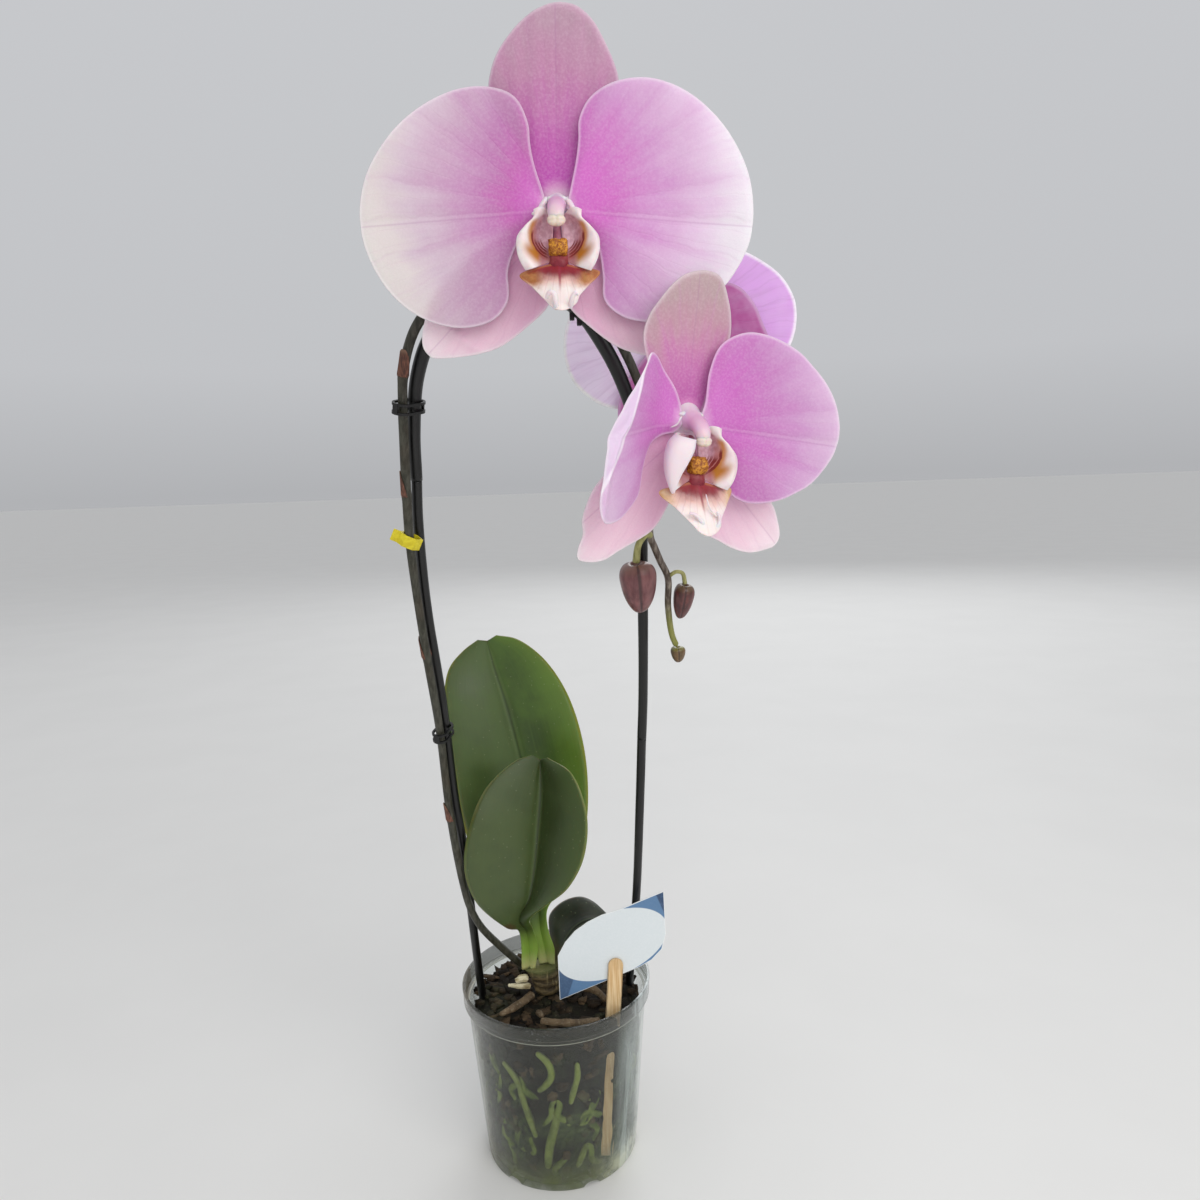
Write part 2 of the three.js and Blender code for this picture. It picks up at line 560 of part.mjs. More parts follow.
// Clips: two thin bands round stem and hoop, joined at their ends
const hoopAt = (curve, height) => {
  let u = 0;
  while (curve.getPointAt(u).z < height) {
    u += 0.0005;
  }
  return { point: curve.getPointAt(u), along: curve.getTangentAt(u) };
};
const clipPlaces = [
  ['stem_clip_upper', 464, hoopPath(arch), ARCH_RADIUS + 0.6],
  ['stem_clip_lower', 296, hoopPath(leftRod), ROD_RADIUS + 0.6],
];
for (const [name, height, curve, bore] of clipPlaces) {
  const hoop = hoopAt(curve, height);
  const stem = stemAt(height - 1.5).point;
  const out = stem.clone().sub(hoop.point);
  out.addScaledVector(hoop.along, -out.dot(hoop.along));
  const reach = out.length();
  out.normalize();
  const turn = new THREE.Matrix4().makeBasis(out, hoop.along.clone().cross(out), hoop.along);
  const stadium = (r) => {
    const shape = new THREE.Shape();
    shape.absarc(0, 0, r, Math.PI / 2, Math.PI * 1.5, false);
    shape.absarc(reach, 0, r, -Math.PI / 2, Math.PI / 2, false);
    return shape;
  };
  const band = stadium(bore + 1.1);
  band.holes.push(stadium(bore));
  const bands = [-2.6, 1.4].map((z) => {
    const options = { depth: 1.2, bevelEnabled: false, curveSegments: 8 };
    return new THREE.ExtrudeGeometry(band, options).translate(0, 0, z);
  });
  const ends = [-bore - 0.55, reach + bore + 0.55].map((x) => new THREE.BoxGeometry(0.9, 3, 4.8).translate(x, 0, 0));
  const clip = join([...bands, ...ends]);
  add(name, clip.applyMatrix4(turn).translate(...hoop.point), 0x151515, 0.5);
}

// Yellow tape: a strip folded round the stem and stuck to itself at the left
const tagStem = stemAt(401.5);
const tapeOutline = [
  [-9, 0.35], [-5.6, 0.5], [-2.6, 2.9], [2.6, 2.9], [5.8, 0], [2.6, -2.9], [-2.6, -2.9],
  [-5.6, -0.5], [-9, -0.35],
];
const tapeHollow = [[-4.9, 0], [-2.4, 2.5], [2.4, 2.5], [4.9, 0], [2.4, -2.5], [-2.4, -2.5]];
const [tapeBlock, tapeBore] = [[tapeOutline, 6], [tapeHollow, 8]].map(([outline, depth]) => {
  const shape = new THREE.Shape(outline.map(([x, y]) => new THREE.Vector2(x, y)));
  return new THREE.ExtrudeGeometry(shape, { depth, bevelEnabled: false }).translate(0, 0, -depth / 2);
});
const tapeSolid = cut(tapeBlock, [tapeBore]).rotateY(0.45).applyMatrix4(new THREE.Matrix4().makeBasis(
  v(1, 0, 0), v(0, Math.cos(LEAN), Math.sin(LEAN)), v(0, -Math.sin(LEAN), Math.cos(LEAN)),
));
add('grower_tag', tapeSolid.translate(...tagStem.point), 0xe6d92a, 0.6);

// Buds hang from the stem; the last one closes its tip
function bud(name, top, tip, width, color) {
  const axis = path([top, tip]);
  const down = axis.getTangent(0);
  const side = down.clone().cross(v(0, 1, 0)).normalize();
  const front = side.clone().cross(down);
  const profile = [0.16, 0.6, 0.92, 1, 0.96, 0.8, 0.56, 0.3, 0.1];
  const rings = profile.map((k, i) => {
    const centre = axis.getPoint(i / (profile.length - 1));
    const ring = [];
    for (let j = 0; j < 15; j++) {
      const angle = (j / 15) * 2 * Math.PI;
      const r = (width / 2) * k * (1 + 0.05 * Math.cos(3 * angle));
      const p = centre.clone().addScaledVector(side, r * Math.cos(angle));
      ring.push(p.addScaledVector(front, r * Math.sin(angle)));
    }
    return ring;
  });
  add(name, loft(rings), color, 0.45);
}
add('bud_stalk_1', rod([[54.6, -108.6, 400.2], [52.2, -112.2, 401], [48.6, -111.4, 396.5],
  [47.3, -107.8, 387]], [1.7, 1.6, 1.7], 8, 8), 0x6a6a3c);
bud('bud_1', [47.2, -107.5, 386.6], [49.6, -101.5, 361.5], 18.4, 0x6b3f45);
add('bud_stalk_2', rod([[65.7, -99.6, 379], [68.5, -100.2, 381], [71.5, -99.4, 380],
  [73, -97.6, 374.2]], [1, 1, 1.1], 8, 8), 0x6a6a3c);
bud('bud_2', [73.1, -97.3, 373.8], [70.8, -91.5, 356], 10.6, 0x5f3540);
bud('bud_3', [70.2, -85.8, 340], [70.8, -84.2, 331.6], 7.8, 0x66403f);

// Turns the outer part of a petal forward about an upright line at x = hinge.
function fold(geometry, hinge, degrees) {
  const angle = THREE.MathUtils.degToRad(degrees);
  const side = Math.sign(hinge);
  const position = geometry.attributes.position;
  for (let i = 0; i < position.count; i++) {
    const d = (position.getX(i) - hinge) * side;
    const z = position.getZ(i);
    if (d > 0) {
      position.setX(i, hinge + side * (d * Math.cos(angle) - z * Math.sin(angle)));
      position.setZ(i, z * Math.cos(angle) + d * Math.sin(angle));
    }
  }
  geometry.computeVertexNormals();
  return geometry;
}

const petalShape = (x, y) => 1.3 + 0.0003 * (x * x + y * y) + 0.5 * Math.sin(x / 9 + y / 13);
const dorsalShape = (x, y) => -2.6 - 1.4 * Math.sin((Math.PI * y) / 68) - 0.002 * x * x;
const lateralShape = (x, y) => -2.6 - 0.0007 * (x * x + y * y) - 0.8 * Math.sin(Math.abs(x) / 16);
const lobeShape = (x, y) => 4.5 + 7 * Math.sin((Math.PI * (-y - 2.7)) / 28);
const midlobeShape = (x, y) => 9.5 + 0.72 * (-y - 20) - 0.012 * x * x;

const middleOf = (outline) => {
  const xs = outline.map(([x]) => x);
  const ys = outline.map(([, y]) => y);
  return [(Math.min(...xs) + Math.max(...xs)) / 2, (Math.min(...ys) + Math.max(...ys)) / 2];
};

const sepalColor = 0xdcaed0;
const petalColor = 0xd9a5d6;
for (const f of FLOWERS) {
  const [yaw, nod, roll] = [f.yaw, f.nod, f.roll].map(THREE.MathUtils.degToRad);
  const place = new THREE.Matrix4().makeTranslation(...f.centre)
    .multiply(new THREE.Matrix4().makeBasis(v(1, 0, 0), v(0, 0, 1), v(0, -1, 0)))
    .multiply(new THREE.Matrix4().makeRotationFromEuler(new THREE.Euler(nod, yaw, roll, 'YXZ')))
    .multiply(new THREE.Matrix4().makeScale(f.size, f.size, f.size));
  const put = (part, geometry, color) => {
    add(`${f.name}_${part}`, geometry.applyMatrix4(place), color, 0.6);
  };
  const shapes = f.shapes;
  put('dorsal_sepal', plate(shapes.dorsal, [0, 34], dorsalShape, 0.6), sepalColor);
  put('left_lateral_sepal', plate(shapes.leftLateral, middleOf(shapes.leftLateral), lateralShape, 0.6),
    sepalColor);
  put('right_lateral_sepal', plate(shapes.rightLateral, middleOf(shapes.rightLateral), lateralShape, 0.6),
    sepalColor);
  const leftPetal = plate(shapes.leftPetal, middleOf(shapes.leftPetal), petalShape, 0.6, 28);
  const rightPetal = plate(shapes.rightPetal, middleOf(shapes.rightPetal), petalShape, 0.6, 28);
  put('left_petal', fold(leftPetal, -14, f.bendLeft), petalColor);
  put('right_petal', fold(rightPetal, 12, f.bendRight), petalColor);
  put('column', rod([[0, 0, -7], [0, 0.4, -2], [0, 0.8, 4], [0, 0, 9], [0, -3, 12.4], [0, -6, 12.6]],
    [2, 3.3, 3.4, 3, 2.7, 2.7, 1.2], 10, 12), 0xf0dfe8);
  const lip = join([
    rod([[0, -4.1, 1], [0, -8, 4.2], [0, -14, 7.4], [0, -22, 10.6]], [1.3, 1.6, 2.2, 1.4], 8, 8),
    plate(MIDLOBE, [0.5, -26], midlobeShape, 0.7, 20, [0.5, 1]),
    plate(SIDE_LOBE, [-10.6, -14.3], lobeShape, 0.5, 18, [0.6, 1]),
    plate(mirrored(SIDE_LOBE), [10.6, -14.3], lobeShape, 0.5, 18, [0.6, 1]),
    new THREE.SphereGeometry(3, 10, 6).scale(1.1, 1, 0.8).translate(0, -14, 9),
    rod([[-0.8, -34.4, 20.4], [-2.4, -37, 23], [-4, -34.8, 26], [-3, -31.6, 26.4]], [0.7, 0.5], 6, 8),
    rod([[2.4, -34.6, 20.4], [5.2, -36.6, 23], [7.4, -33.6, 25.4], [6.6, -30, 26]], [0.7, 0.5], 6, 8),
  ]);
  put('lip', lip.translate(0, 4.3, -1).scale(f.lipSize, f.lipSize, f.lipSize).translate(0, -4.3, 1),
    0xf3e4dc);
  const [bend, back] = [-12, -7.5].map((z) => v(0, 0, z).applyMatrix4(place).toArray());
  add(`${f.name}_stalk`, rod([...f.stalk, bend, back], [1.7, 1.6, 1.7], 8, 14), 0x8a8a5c);
}

export default orchid;
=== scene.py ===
"""Looks of a potted moth orchid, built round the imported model.

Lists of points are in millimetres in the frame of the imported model, and the
meshes made from them are in metres. A flower's own points are seen from its
front, with the column at the origin, x to the right, y up and z to the viewer.
"""
import math

import bmesh
import bpy
import numpy as np
from mathutils import Matrix, Vector, noise


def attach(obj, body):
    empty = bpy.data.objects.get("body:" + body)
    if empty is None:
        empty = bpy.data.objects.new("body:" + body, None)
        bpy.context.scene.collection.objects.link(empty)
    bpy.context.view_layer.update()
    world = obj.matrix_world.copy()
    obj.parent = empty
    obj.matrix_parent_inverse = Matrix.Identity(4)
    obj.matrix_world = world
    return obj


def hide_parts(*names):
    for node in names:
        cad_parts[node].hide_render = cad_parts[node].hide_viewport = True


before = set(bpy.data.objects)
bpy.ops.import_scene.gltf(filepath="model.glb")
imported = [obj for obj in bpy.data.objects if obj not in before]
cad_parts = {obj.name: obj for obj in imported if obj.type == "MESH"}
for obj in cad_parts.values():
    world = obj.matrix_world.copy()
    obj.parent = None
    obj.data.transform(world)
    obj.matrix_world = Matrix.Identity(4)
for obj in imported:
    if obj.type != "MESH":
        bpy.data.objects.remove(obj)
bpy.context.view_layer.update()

MM = 0.001
LEAN = math.radians(18)  # how far the hoop leans towards the viewer
POT_HEIGHT = 113.4
POT_RADIUS = 60  # at the lip of the rim
WALL = 1.5
RIM_STEP = 103.1  # height of the step below the rim
STEM_RADIUS = 2.15
ROD_RADIUS = 2.45
CORE_GAP = 3.4  # between the pot's wall and the dark middle of the mix
WALL_CHIPS = 640
BURIED_ROOTS = 64
TOP_CHIPS = 260

SEED = 11
rng = np.random.default_rng(SEED)
noise.seed_set(SEED)  # vector noise would otherwise take its offsets from the clock


def add_object(name, data):
    thing = bpy.data.objects.new(name, data)
    bpy.context.scene.collection.objects.link(thing)
    return thing


# Camera

def add_camera():
    """The photograph's view: 27 mm on a 36 mm sensor, looking a little down."""
    pitch, yaw, roll = (math.radians(a) for a in (7.5, 3.8, -1.9))
    level_part = math.cos(pitch)
    forward = Vector((math.sin(yaw) * level_part, math.cos(yaw) * level_part, -math.sin(pitch)))
    level = Vector((math.cos(yaw), -math.sin(yaw), 0))
    above = level.cross(forward)
    right = math.cos(roll) * level + math.sin(roll) * above
    up = -math.sin(roll) * level + math.cos(roll) * above
    data = bpy.data.cameras.new("camera")
    data.lens = 27
    data.sensor_width = 36
    data.clip_start = 0.01
    camera = add_object("camera", data)
    turn = Matrix((right, up, -forward)).transposed().to_4x4()
    camera.matrix_world = Matrix.Translation((0, -0.545, 0.427)) @ turn
    bpy.context.scene.camera = camera


add_camera()


# Curves

def spline(points, closed=False, per=16):
    """Dense row of points on a centripetal Catmull-Rom curve."""
    p = np.array(points, float)
    if closed:
        row = np.vstack([p[-1:], p, p[:2]])
    else:
        row = np.vstack([2 * p[:1] - p[1:2], p, 2 * p[-1:] - p[-2:-1]])
    w = np.linspace(0, 1, per, endpoint=False)[:, None]
    pieces = []
    for a, b, c, d in zip(row, row[1:], row[2:], row[3:]):
        gaps = (b - a, c - b, d - c)
        d0, d1, d2 = (max(float(np.linalg.norm(q)), 1e-6) ** 0.5 for q in gaps)
        t1 = ((b - a) / d0 - (c - a) / (d0 + d1) + (c - b) / d1) * d1
        t2 = ((c - b) / d1 - (d - b) / (d1 + d2) + (d - c) / d2) * d1
        square, cube = 3 * (c - b) - 2 * t1 - t2, 2 * (b - c) + t1 + t2
        pieces.append(b + t1 * w + square * w**2 + cube * w**3)
    if not closed:
        pieces.append(p[-1:])
    return np.vstack(pieces)


def run_along(row):
    """Distance from the first point to each point of a row."""
    return np.concatenate([[0], np.cumsum(np.linalg.norm(np.diff(row, axis=0), axis=1))])


def even(row, count, closed=False):
    """The same row with count points at even distances."""
    if closed:
        row = np.vstack([row, row[:1]])
    far = run_along(row)
    at = np.linspace(0, far[-1], count + closed)[:count]
    return np.column_stack([np.interp(at, far, row[:, k]) for k in range(row.shape[1])])


def unit(rows):
    return rows / np.maximum(np.linalg.norm(rows, axis=-1, keepdims=True), 1e-9)


def circle(count):
    """Angles at even steps round a circle."""
    return np.linspace(0, 2 * math.pi, count, endpoint=False)


def smooth(low, high, value):
    """Smooth step from 0 to 1 as value goes from low to high."""
    t = np.clip((value - low) / (high - low), 0, 1)
    return t * t * (3 - 2 * t)


def hoop_point(x, z, front=0):
    """A point of the leaning hoop's plane, or in front of it."""
    return [x, -(z - 100) * math.tan(LEAN) - front, z]


def frames_along(row):
    """Tangent and two side directions that don't twist, for each point."""
    along = unit(np.gradient(row, axis=0))
    side = np.cross(along[0], [0.0, 1.0, 0.0])
    if np.linalg.norm(side) < 0.2:
        side = np.cross(along[0], [1.0, 0.0, 0.0])
    sides = []
    for t in along:
        side = side - np.dot(side, t) * t
        side = side / np.linalg.norm(side)
        sides.append(side)
    sides = np.array(sides)
    return along, sides, np.cross(along, sides)


# Meshes
# A shape is a dictionary: verts, faces, and fields with one value or vector per vertex.

def ring_faces(rings, n, start=0):
    """Four-sided faces between rings of n points each."""
    faces = []
    for i in range(rings - 1):
        for j in range(n):
            a = start + i * n + j
            b = start + i * n + (j + 1) % n
            faces.append((a, b, b + n, a + n))
    return faces


def ringed(rings, fields):
    """Closed skin over rings of points, with a point in the middle of each end."""
    count, n, _ = rings.shape
    verts = np.vstack([rings.reshape(-1, 3), rings[0].mean(0)[None], rings[-1].mean(0)[None]])
    faces = ring_faces(count, n)
    first, last = count * n, count * n + 1
    for j in range(n):
        k = (j + 1) % n
        faces.append((first, k, j))
        faces.append((last, (count - 1) * n + j, (count - 1) * n + k))
    full = {}
    for key, value in fields.items():
        flat = value.reshape(count * n, -1)
        ends = np.vstack([flat[:n].mean(0)[None], flat[-n:].mean(0)[None]])
        full[key] = np.vstack([flat, ends])
    return {"verts": verts, "faces": faces, "fields": full}


def tube(points, radii, sides=24, step=1.0, rounding=1.0, swell=None):
    """Round rod along a curve, with rounded ends that stay inside its length.

    swell(mm_along, angle) gives a factor for the radius."""
    row = spline(points, per=24) if len(points) > 2 else np.array(points, float)
    length = float(run_along(row)[-1])
    count = max(int(length / step), 8)
    row = even(row, count)
    mm = np.linspace(0, length, count)
    r = np.interp(mm / length, np.linspace(0, 1, len(radii)), radii)
    if rounding:
        for end, cap in ((mm, r[0] * rounding), (length - mm, r[-1] * rounding)):
            inside = np.clip(end / max(cap, 1e-6), 0, 1)
            r = r * np.sqrt(np.maximum(1 - (1 - inside) ** 2, 0.02))
    _, side, other = frames_along(row)
    angle = circle(sides)
    grid_mm, grid_angle = np.meshgrid(mm, angle, indexing="ij")
    size = r[:, None] * (swell(grid_mm, grid_angle) if swell else 1)
    round_it = np.cos(angle)[:, None] * side[:, None] + np.sin(angle)[:, None] * other[:, None]
    rings = row[:, None] + size[..., None] * round_it
    return ringed(rings, {"share": grid_mm / length})


def joined(shapes, materials=None):
    """Several shapes as one; materials gives each shape's material index."""
    verts, faces, index, start = [], [], [], 0
    keys = sorted(set(k for s in shapes for k in s["fields"]))
    fields = {k: [] for k in keys}
    for i, s in enumerate(shapes):
        verts.append(s["verts"])
        faces += [tuple(a + start for a in f) for f in s["faces"]]
        index += [materials[i] if materials else 0] * len(s["faces"])
        width = {k: next(q["fields"][k].shape[1] for q in shapes if k in q["fields"]) for k in keys}
        for k in keys:
            fields[k].append(s["fields"].get(k, np.zeros((len(s["verts"]), width[k]))))
        start += len(s["verts"])
    return {
        "verts": np.vstack(verts), "faces": faces, "index": index,
        "fields": {k: np.vstack(v) for k, v in fields.items()},
    }


def piece(node, shape, materials):
    """Makes an object, in metres, that rides on the root and stands for one CAD node."""
    name = f"{node}_fine"
    mesh = bpy.data.meshes.new(name)
    mesh.from_pydata((shape["verts"] * MM).tolist(), [], shape["faces"])
    for m in materials if isinstance(materials, list) else [materials]:
        mesh.materials.append(m)
    if "index" in shape:
        mesh.polygons.foreach_set("material_index", shape["index"])
    for key, value in shape["fields"].items():
        single = value.shape[1] == 1
        layer = mesh.attributes.new(key, "FLOAT" if single else "FLOAT_VECTOR", "POINT")
        layer.data.foreach_set("value" if single else "vector", value.astype(np.float32).ravel())
    work = bmesh.new()
    work.from_mesh(mesh)
    bmesh.ops.recalc_face_normals(work, faces=work.faces)
    work.to_mesh(mesh)
    work.free()
    mesh.polygons.foreach_set("use_smooth", [True] * len(mesh.polygons))
    mesh.update()
    thing = add_object(name, mesh)
    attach(thing, "root")
    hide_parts(node)


# Materials

def colour(text):
    """Linear colour from a hex string such as c8a0b0."""
    parts = [int(text[i:i + 2], 16) / 255 for i in (0, 2, 4)]
    return tuple(p / 12.92 if p <= 0.04045 else ((p + 0.055) / 1.055) ** 2.4 for p in parts) + (1,)


def operator(kind, swapped=False):
    """Makes an arithmetic sign between two wires, or a wire and a number, a maths node."""
    def apply(a, b):
        return a.paint.math(kind, b, a) if swapped else a.paint.math(kind, a, b)
    return apply


class Wire:
    """A node's output, which + - * / ** and abs() work on."""

    def __init__(self, paint, socket):
        self.paint = paint
        self.socket = socket

    def __abs__(self):
        return self.paint.math("ABSOLUTE", self)

    __add__ = operator("ADD")
    __sub__ = operator("SUBTRACT")
    __rsub__ = operator("SUBTRACT", swapped=True)
    __mul__ = operator("MULTIPLY")
    __truediv__ = operator("DIVIDE")
    __pow__ = operator("POWER")


class Paint:
    """One procedural material and short names for the nodes that make it.

    place is where the textures look, and base is the base colour so far."""

    def __init__(self, name, rough=0.5, **plain):
        self.material = bpy.data.materials.new(name)
        self.material.use_nodes = True
        self.tree = self.material.node_tree
        self.shader = self.tree.nodes["Principled BSDF"]
        self.shader.inputs["Roughness"].default_value = rough
        for key, value in plain.items():
            self.shader.inputs[key.replace("_", " ")].default_value = value
        self.place = self.node("ShaderNodeTexCoord", out="Object")
        self.base = None

    def node(self, kind, values=None, out=0, **settings):
        """Adds a node, with its settings and inputs, and gives its output."""
        n = self.tree.nodes.new(kind)
        for key, value in settings.items():
            setattr(n, key, value)
        for key, value in (values or {}).items():
            self.feed(n.inputs[key], value)
        self.last = n
        return Wire(self, n.outputs[out])

    def feed(self, socket, value):
        if isinstance(value, str):
            value = colour(value)
        if isinstance(value, Wire):
            self.tree.links.new(value.socket, socket)
        else:
            socket.default_value = value

    def math(self, operation, *values, clamp=False):
        values = dict(enumerate(values))
        return self.node("ShaderNodeMath", values, operation=operation, use_clamp=clamp)

    def span(self, value, low, high, start=0, end=1):
        """Smooth step from start to end as the value goes from low to high."""
        values = {0: value, 1: low, 2: high, 3: start, 4: end}
        return self.node("ShaderNodeMapRange", values, interpolation_type="SMOOTHSTEP")

    def field(self, name, vector=False):
        out = "Vector" if vector else "Fac"
        return self.node("ShaderNodeAttribute", out=out, attribute_name=name)

    def parts(self, vector):
        self.node("ShaderNodeSeparateXYZ", {0: vector})
        return [Wire(self, socket) for socket in self.last.outputs]

    def vector(self, x, y, z=0):
        return self.node("ShaderNodeCombineXYZ", {0: x, 1: y, 2: z})

    def noise(self, scale, detail=3, where=None):
        values = {"Vector": where or self.place, "Scale": scale, "Detail": detail, "Roughness": 0.55}
        return self.node("ShaderNodeTexNoise", values, out="Fac")

    def grain(self, scale, detail, x, y, z):
        """Noise that is finer along an axis with a factor above 1, and drawn out below."""
        where = self.node("ShaderNodeVectorMath", {0: self.place, 1: (x, y, z)}, operation="MULTIPLY")
        return self.noise(scale, detail, where)

    def cells(self, scale):
        """Distance to the nearest of many scattered points."""
        values = {"Vector": self.place, "Scale": scale}
        return self.node("ShaderNodeTexVoronoi", values, out="Distance")

    def mix(self, amount, a, b):
        return self.node("ShaderNodeMix", {0: amount, 6: a, 7: b}, out=2, data_type="RGBA")

    def blend(self, a, b, value, *limits):
        """From a to b by a span of value with these limits."""
        return self.mix(self.span(value, *limits), a, b)

    def coat(self, over, value, *limits):
        """Lays a colour over the base by an amount, or by a span of it with these limits."""
        self.base = self.mix(self.span(value, *limits) if limits else value, self.base, over)

    def ramp(self, value, stops):
        wire = self.node("ShaderNodeValToRGB", {0: value})
        band = self.last.color_ramp
        while len(band.elements) < len(stops):
            band.elements.new(0.5)
        for element, (at, text) in zip(band.elements, stops):
            element.position = at
            element.color = colour(text)
        return wire

    def done(self, height, strength, distance, rough=None):
        """Joins the base colour, a bump and the roughness to the shader."""
        self.feed(self.shader.inputs["Base Color"], self.base)
        values = {"Height": height, "Strength": strength, "Distance": distance}
        self.feed(self.shader.inputs["Normal"], self.node("ShaderNodeBump", values))
        if rough is not None:
            self.feed(self.shader.inputs["Roughness"], rough)
        return self.material


def polar(p):
    """Distance from the column in mm, with up and down counted short, and the angle."""
    x, y, _ = p.parts(p.place)
    side = abs(x)
    reach = p.math("SQRT", x * x + y * y * 0.62)
    angle = p.math("ARCTAN2", y, side + 0.001)
    return side, y, reach, angle


def veins(p, angle, reach, count, start):
    """Pale lines that fan out, wavering a little."""
    waver = p.noise(0.09, 2, p.vector(angle * 14, reach, 0))
    phase = angle * count + waver * 1.6
    line = abs(p.math("SINE", phase))
    thin = p.span(line, 0, 0.22, 1, 0)
    return thin * p.span(reach, start, start + 16)


def petal_paint(name, stops, back, line=(1, 0, 0), vein=0.07, rim="efe3ea", rim_share=0.34,
                rim_width=1.1, under=0.3, reach_size=80, low=9, ribs=0, lit=0, rolled=0):
    """Tepal: magenta by the column, fading to a pale margin, with fine fanned veins.

    line gives the middle line as a * |x| + b * y + c = 0 in the flower's own mm; along it runs a thin line
    of painted shade, with a painted highlight of strength lit beside it.
    low is how many mm further out the lower part counts, so that it is paler; under is how strong the
    painted shade is where a sepal lies behind the petal.
    rolled is how pale the margin of the second flower's left petal is where it rolls back, and how strong
    the painted highlight along its crest is."""
    p = Paint(name, 0.5, Subsurface_Weight=0.3, Subsurface_Scale=0.003, Sheen_Weight=0.15,
              Sheen_Roughness=0.4, Specular_IOR_Level=0.3)
    p.shader.inputs["Subsurface Radius"].default_value = (1, 0.6, 0.8)
    p.place = p.field("spot", vector=True)
    side, y, reach, angle = polar(p)
    cloud = p.noise(0.055, 3)
    streak = p.noise(1, 3, p.vector(angle * 9, reach * 0.016, 3))
    shift = (cloud - 0.5) * 15 + (streak - 0.5) * 22
    shift = shift + p.span(angle, 0.25, -0.45, 0, low)
    reached = reach + shift * p.span(reach, 4, 30)
    p.base = p.ramp(reached / reach_size, stops)
    lines = p.math("MAXIMUM", veins(p, angle, reach, 15, 8), veins(p, angle, reach, 33, 26) * 0.6)
    p.coat("b877ae", lines * vein)
    # painted shade where a sepal lies behind the petal
    p.coat("a86a96", p.field("under") * under)
    grain = p.noise(1.1, 2)
    p.coat("ece2ea", grain, 0.35, 0.75, 0, 0.11)
    p.coat("a884a4", p.noise(3.2, 1), 0.4, 0.75, 0, 0.09)
    a, b, c = line
    off = side * a + (y * b + c)
    near = p.span(reach, 6, 14)
    # painted shade in the middle crease, and a painted highlight beside it
    p.coat("a2609c", p.span(abs(off), 0, 0.5, 0.2, 0) * near)
    p.coat("eedfea", p.span(abs(off - 0.9), 0, 0.9, lit, 0) * near)
    if rolled:
        x, _, _ = p.parts(p.place)
        crest = x + 40.5 + y * -0.6
        p.coat("dccbe0", crest, 0.6, -1.2, 0, rolled)
        # painted highlight along the crest of the rolled margin
        p.coat("f0e8f1", abs(crest), 0.2, 1.4, rolled, 0)
    edge = p.field("edge")
    p.coat(rim, edge, 0.1, rim_width, rim_share, 0)
    behind = p.blend(rim, back, edge, 0.4, 2.6)
    behind = p.mix(lines * 0.12, behind, "8f6a92")
    behind = p.blend(behind, "d9bfdf", cloud, 0.35, 0.7, 0, 0.25)
    behind = p.blend(behind, "ab86ac", streak, 0.45, 0.75, 0, 0.3)
    p.base = p.mix(p.field("front"), behind, p.base)
    height = lines * -0.4 + grain * 0.35
    if ribs:
        height = height + p.noise(0.42, 2) * ribs * p.span(edge, 0, 5, 1, 0.1)
    return p.done(height, 0.35, 0.0003, p.span(cloud, 0.3, 0.7, 0.46, 0.6))


PETAL_SAG = 0.075
PETAL_DROP = 0.8
PETAL_LINE = (PETAL_SAG, 1, PETAL_DROP)
SEPAL_LINE = (0.69, 0.72, 1.5)
RIGHT_STOPS = [(0, "ead9e2"), (0.05, "dcb0d0"), (0.1, "cf74c4"), (0.18, "cc68bf"), (0.26, "c66dba"),
               (0.36, "c67fbd"), (0.46, "c993c4"), (0.58, "d0a8cc"), (0.72, "dac0d8"), (0.86, "e3dbe3"),
               (1, "e9e6e9")]
# Painted shade: a greyer, darker copy of RIGHT_STOPS for the first flower's left petal, which gets less
# light; the third flower's petals use it too.
SHADED_LEFT_STOPS = [(0, "ead9e2"), (0.05, "dcb0d0"), (0.1, "cc72c0"), (0.18, "c463b6"), (0.25, "bd66ad"),
              (0.34, "b97bae"), (0.44, "be8eb5"), (0.56, "c3a2bb"), (0.7, "cebcc8"), (0.84, "d7cfcd"),
              (1, "dbd7d1")]
SECOND_STOPS = [(0, "efe0e6"), (0.06, "dcaed4"), (0.12, "c76fbe"), (0.26, "c168b7"), (0.4, "be79b7"),
                (0.56, "c494c1"), (0.78, "d2b6d0"), (1, "e4dae3")]
petal_first_left = petal_paint("petal_first_left", SHADED_LEFT_STOPS, "b68fbc", PETAL_LINE, under=0.32, lit=0.12)
petal_first_right = petal_paint("petal_first_right", RIGHT_STOPS, "b68fbc", PETAL_LINE, under=0.1, low=6,
                                lit=0.12)
petal_second = petal_paint("petal_second", SECOND_STOPS, "c4a4c6", PETAL_LINE, under=0.15, low=-4, lit=0.12)
petal_rolled = petal_paint("petal_rolled_margin", SECOND_STOPS, "c4a4c6", PETAL_LINE, under=0.15, low=4,
                           lit=0.12, rolled=0.75)
petal_third_left = petal_paint("petal_third_left", SHADED_LEFT_STOPS, "d2a2dc", PETAL_LINE, rim="efe4f0",
                               rim_share=0.8, rim_width=0.9)
petal_third_right = petal_paint("petal_third_right", SHADED_LEFT_STOPS, "e2d6e8", PETAL_LINE, rim="e6e8e4",
                                rim_share=0.8)
DORSAL_STOPS = [(0, "eadbe0"), (0.06, "d9b2cb"), (0.11, "b550a9"), (0.2, "b757a8"), (0.32, "b96fa8"),
                (0.46, "b681a2"), (0.62, "b390a3"), (0.85, "b9a2ad")]
sepal_first = petal_paint("sepal_first", DORSAL_STOPS, "ad94a0", rim="d3c6cc", rim_share=0.35, vein=0.05,
                          low=0)
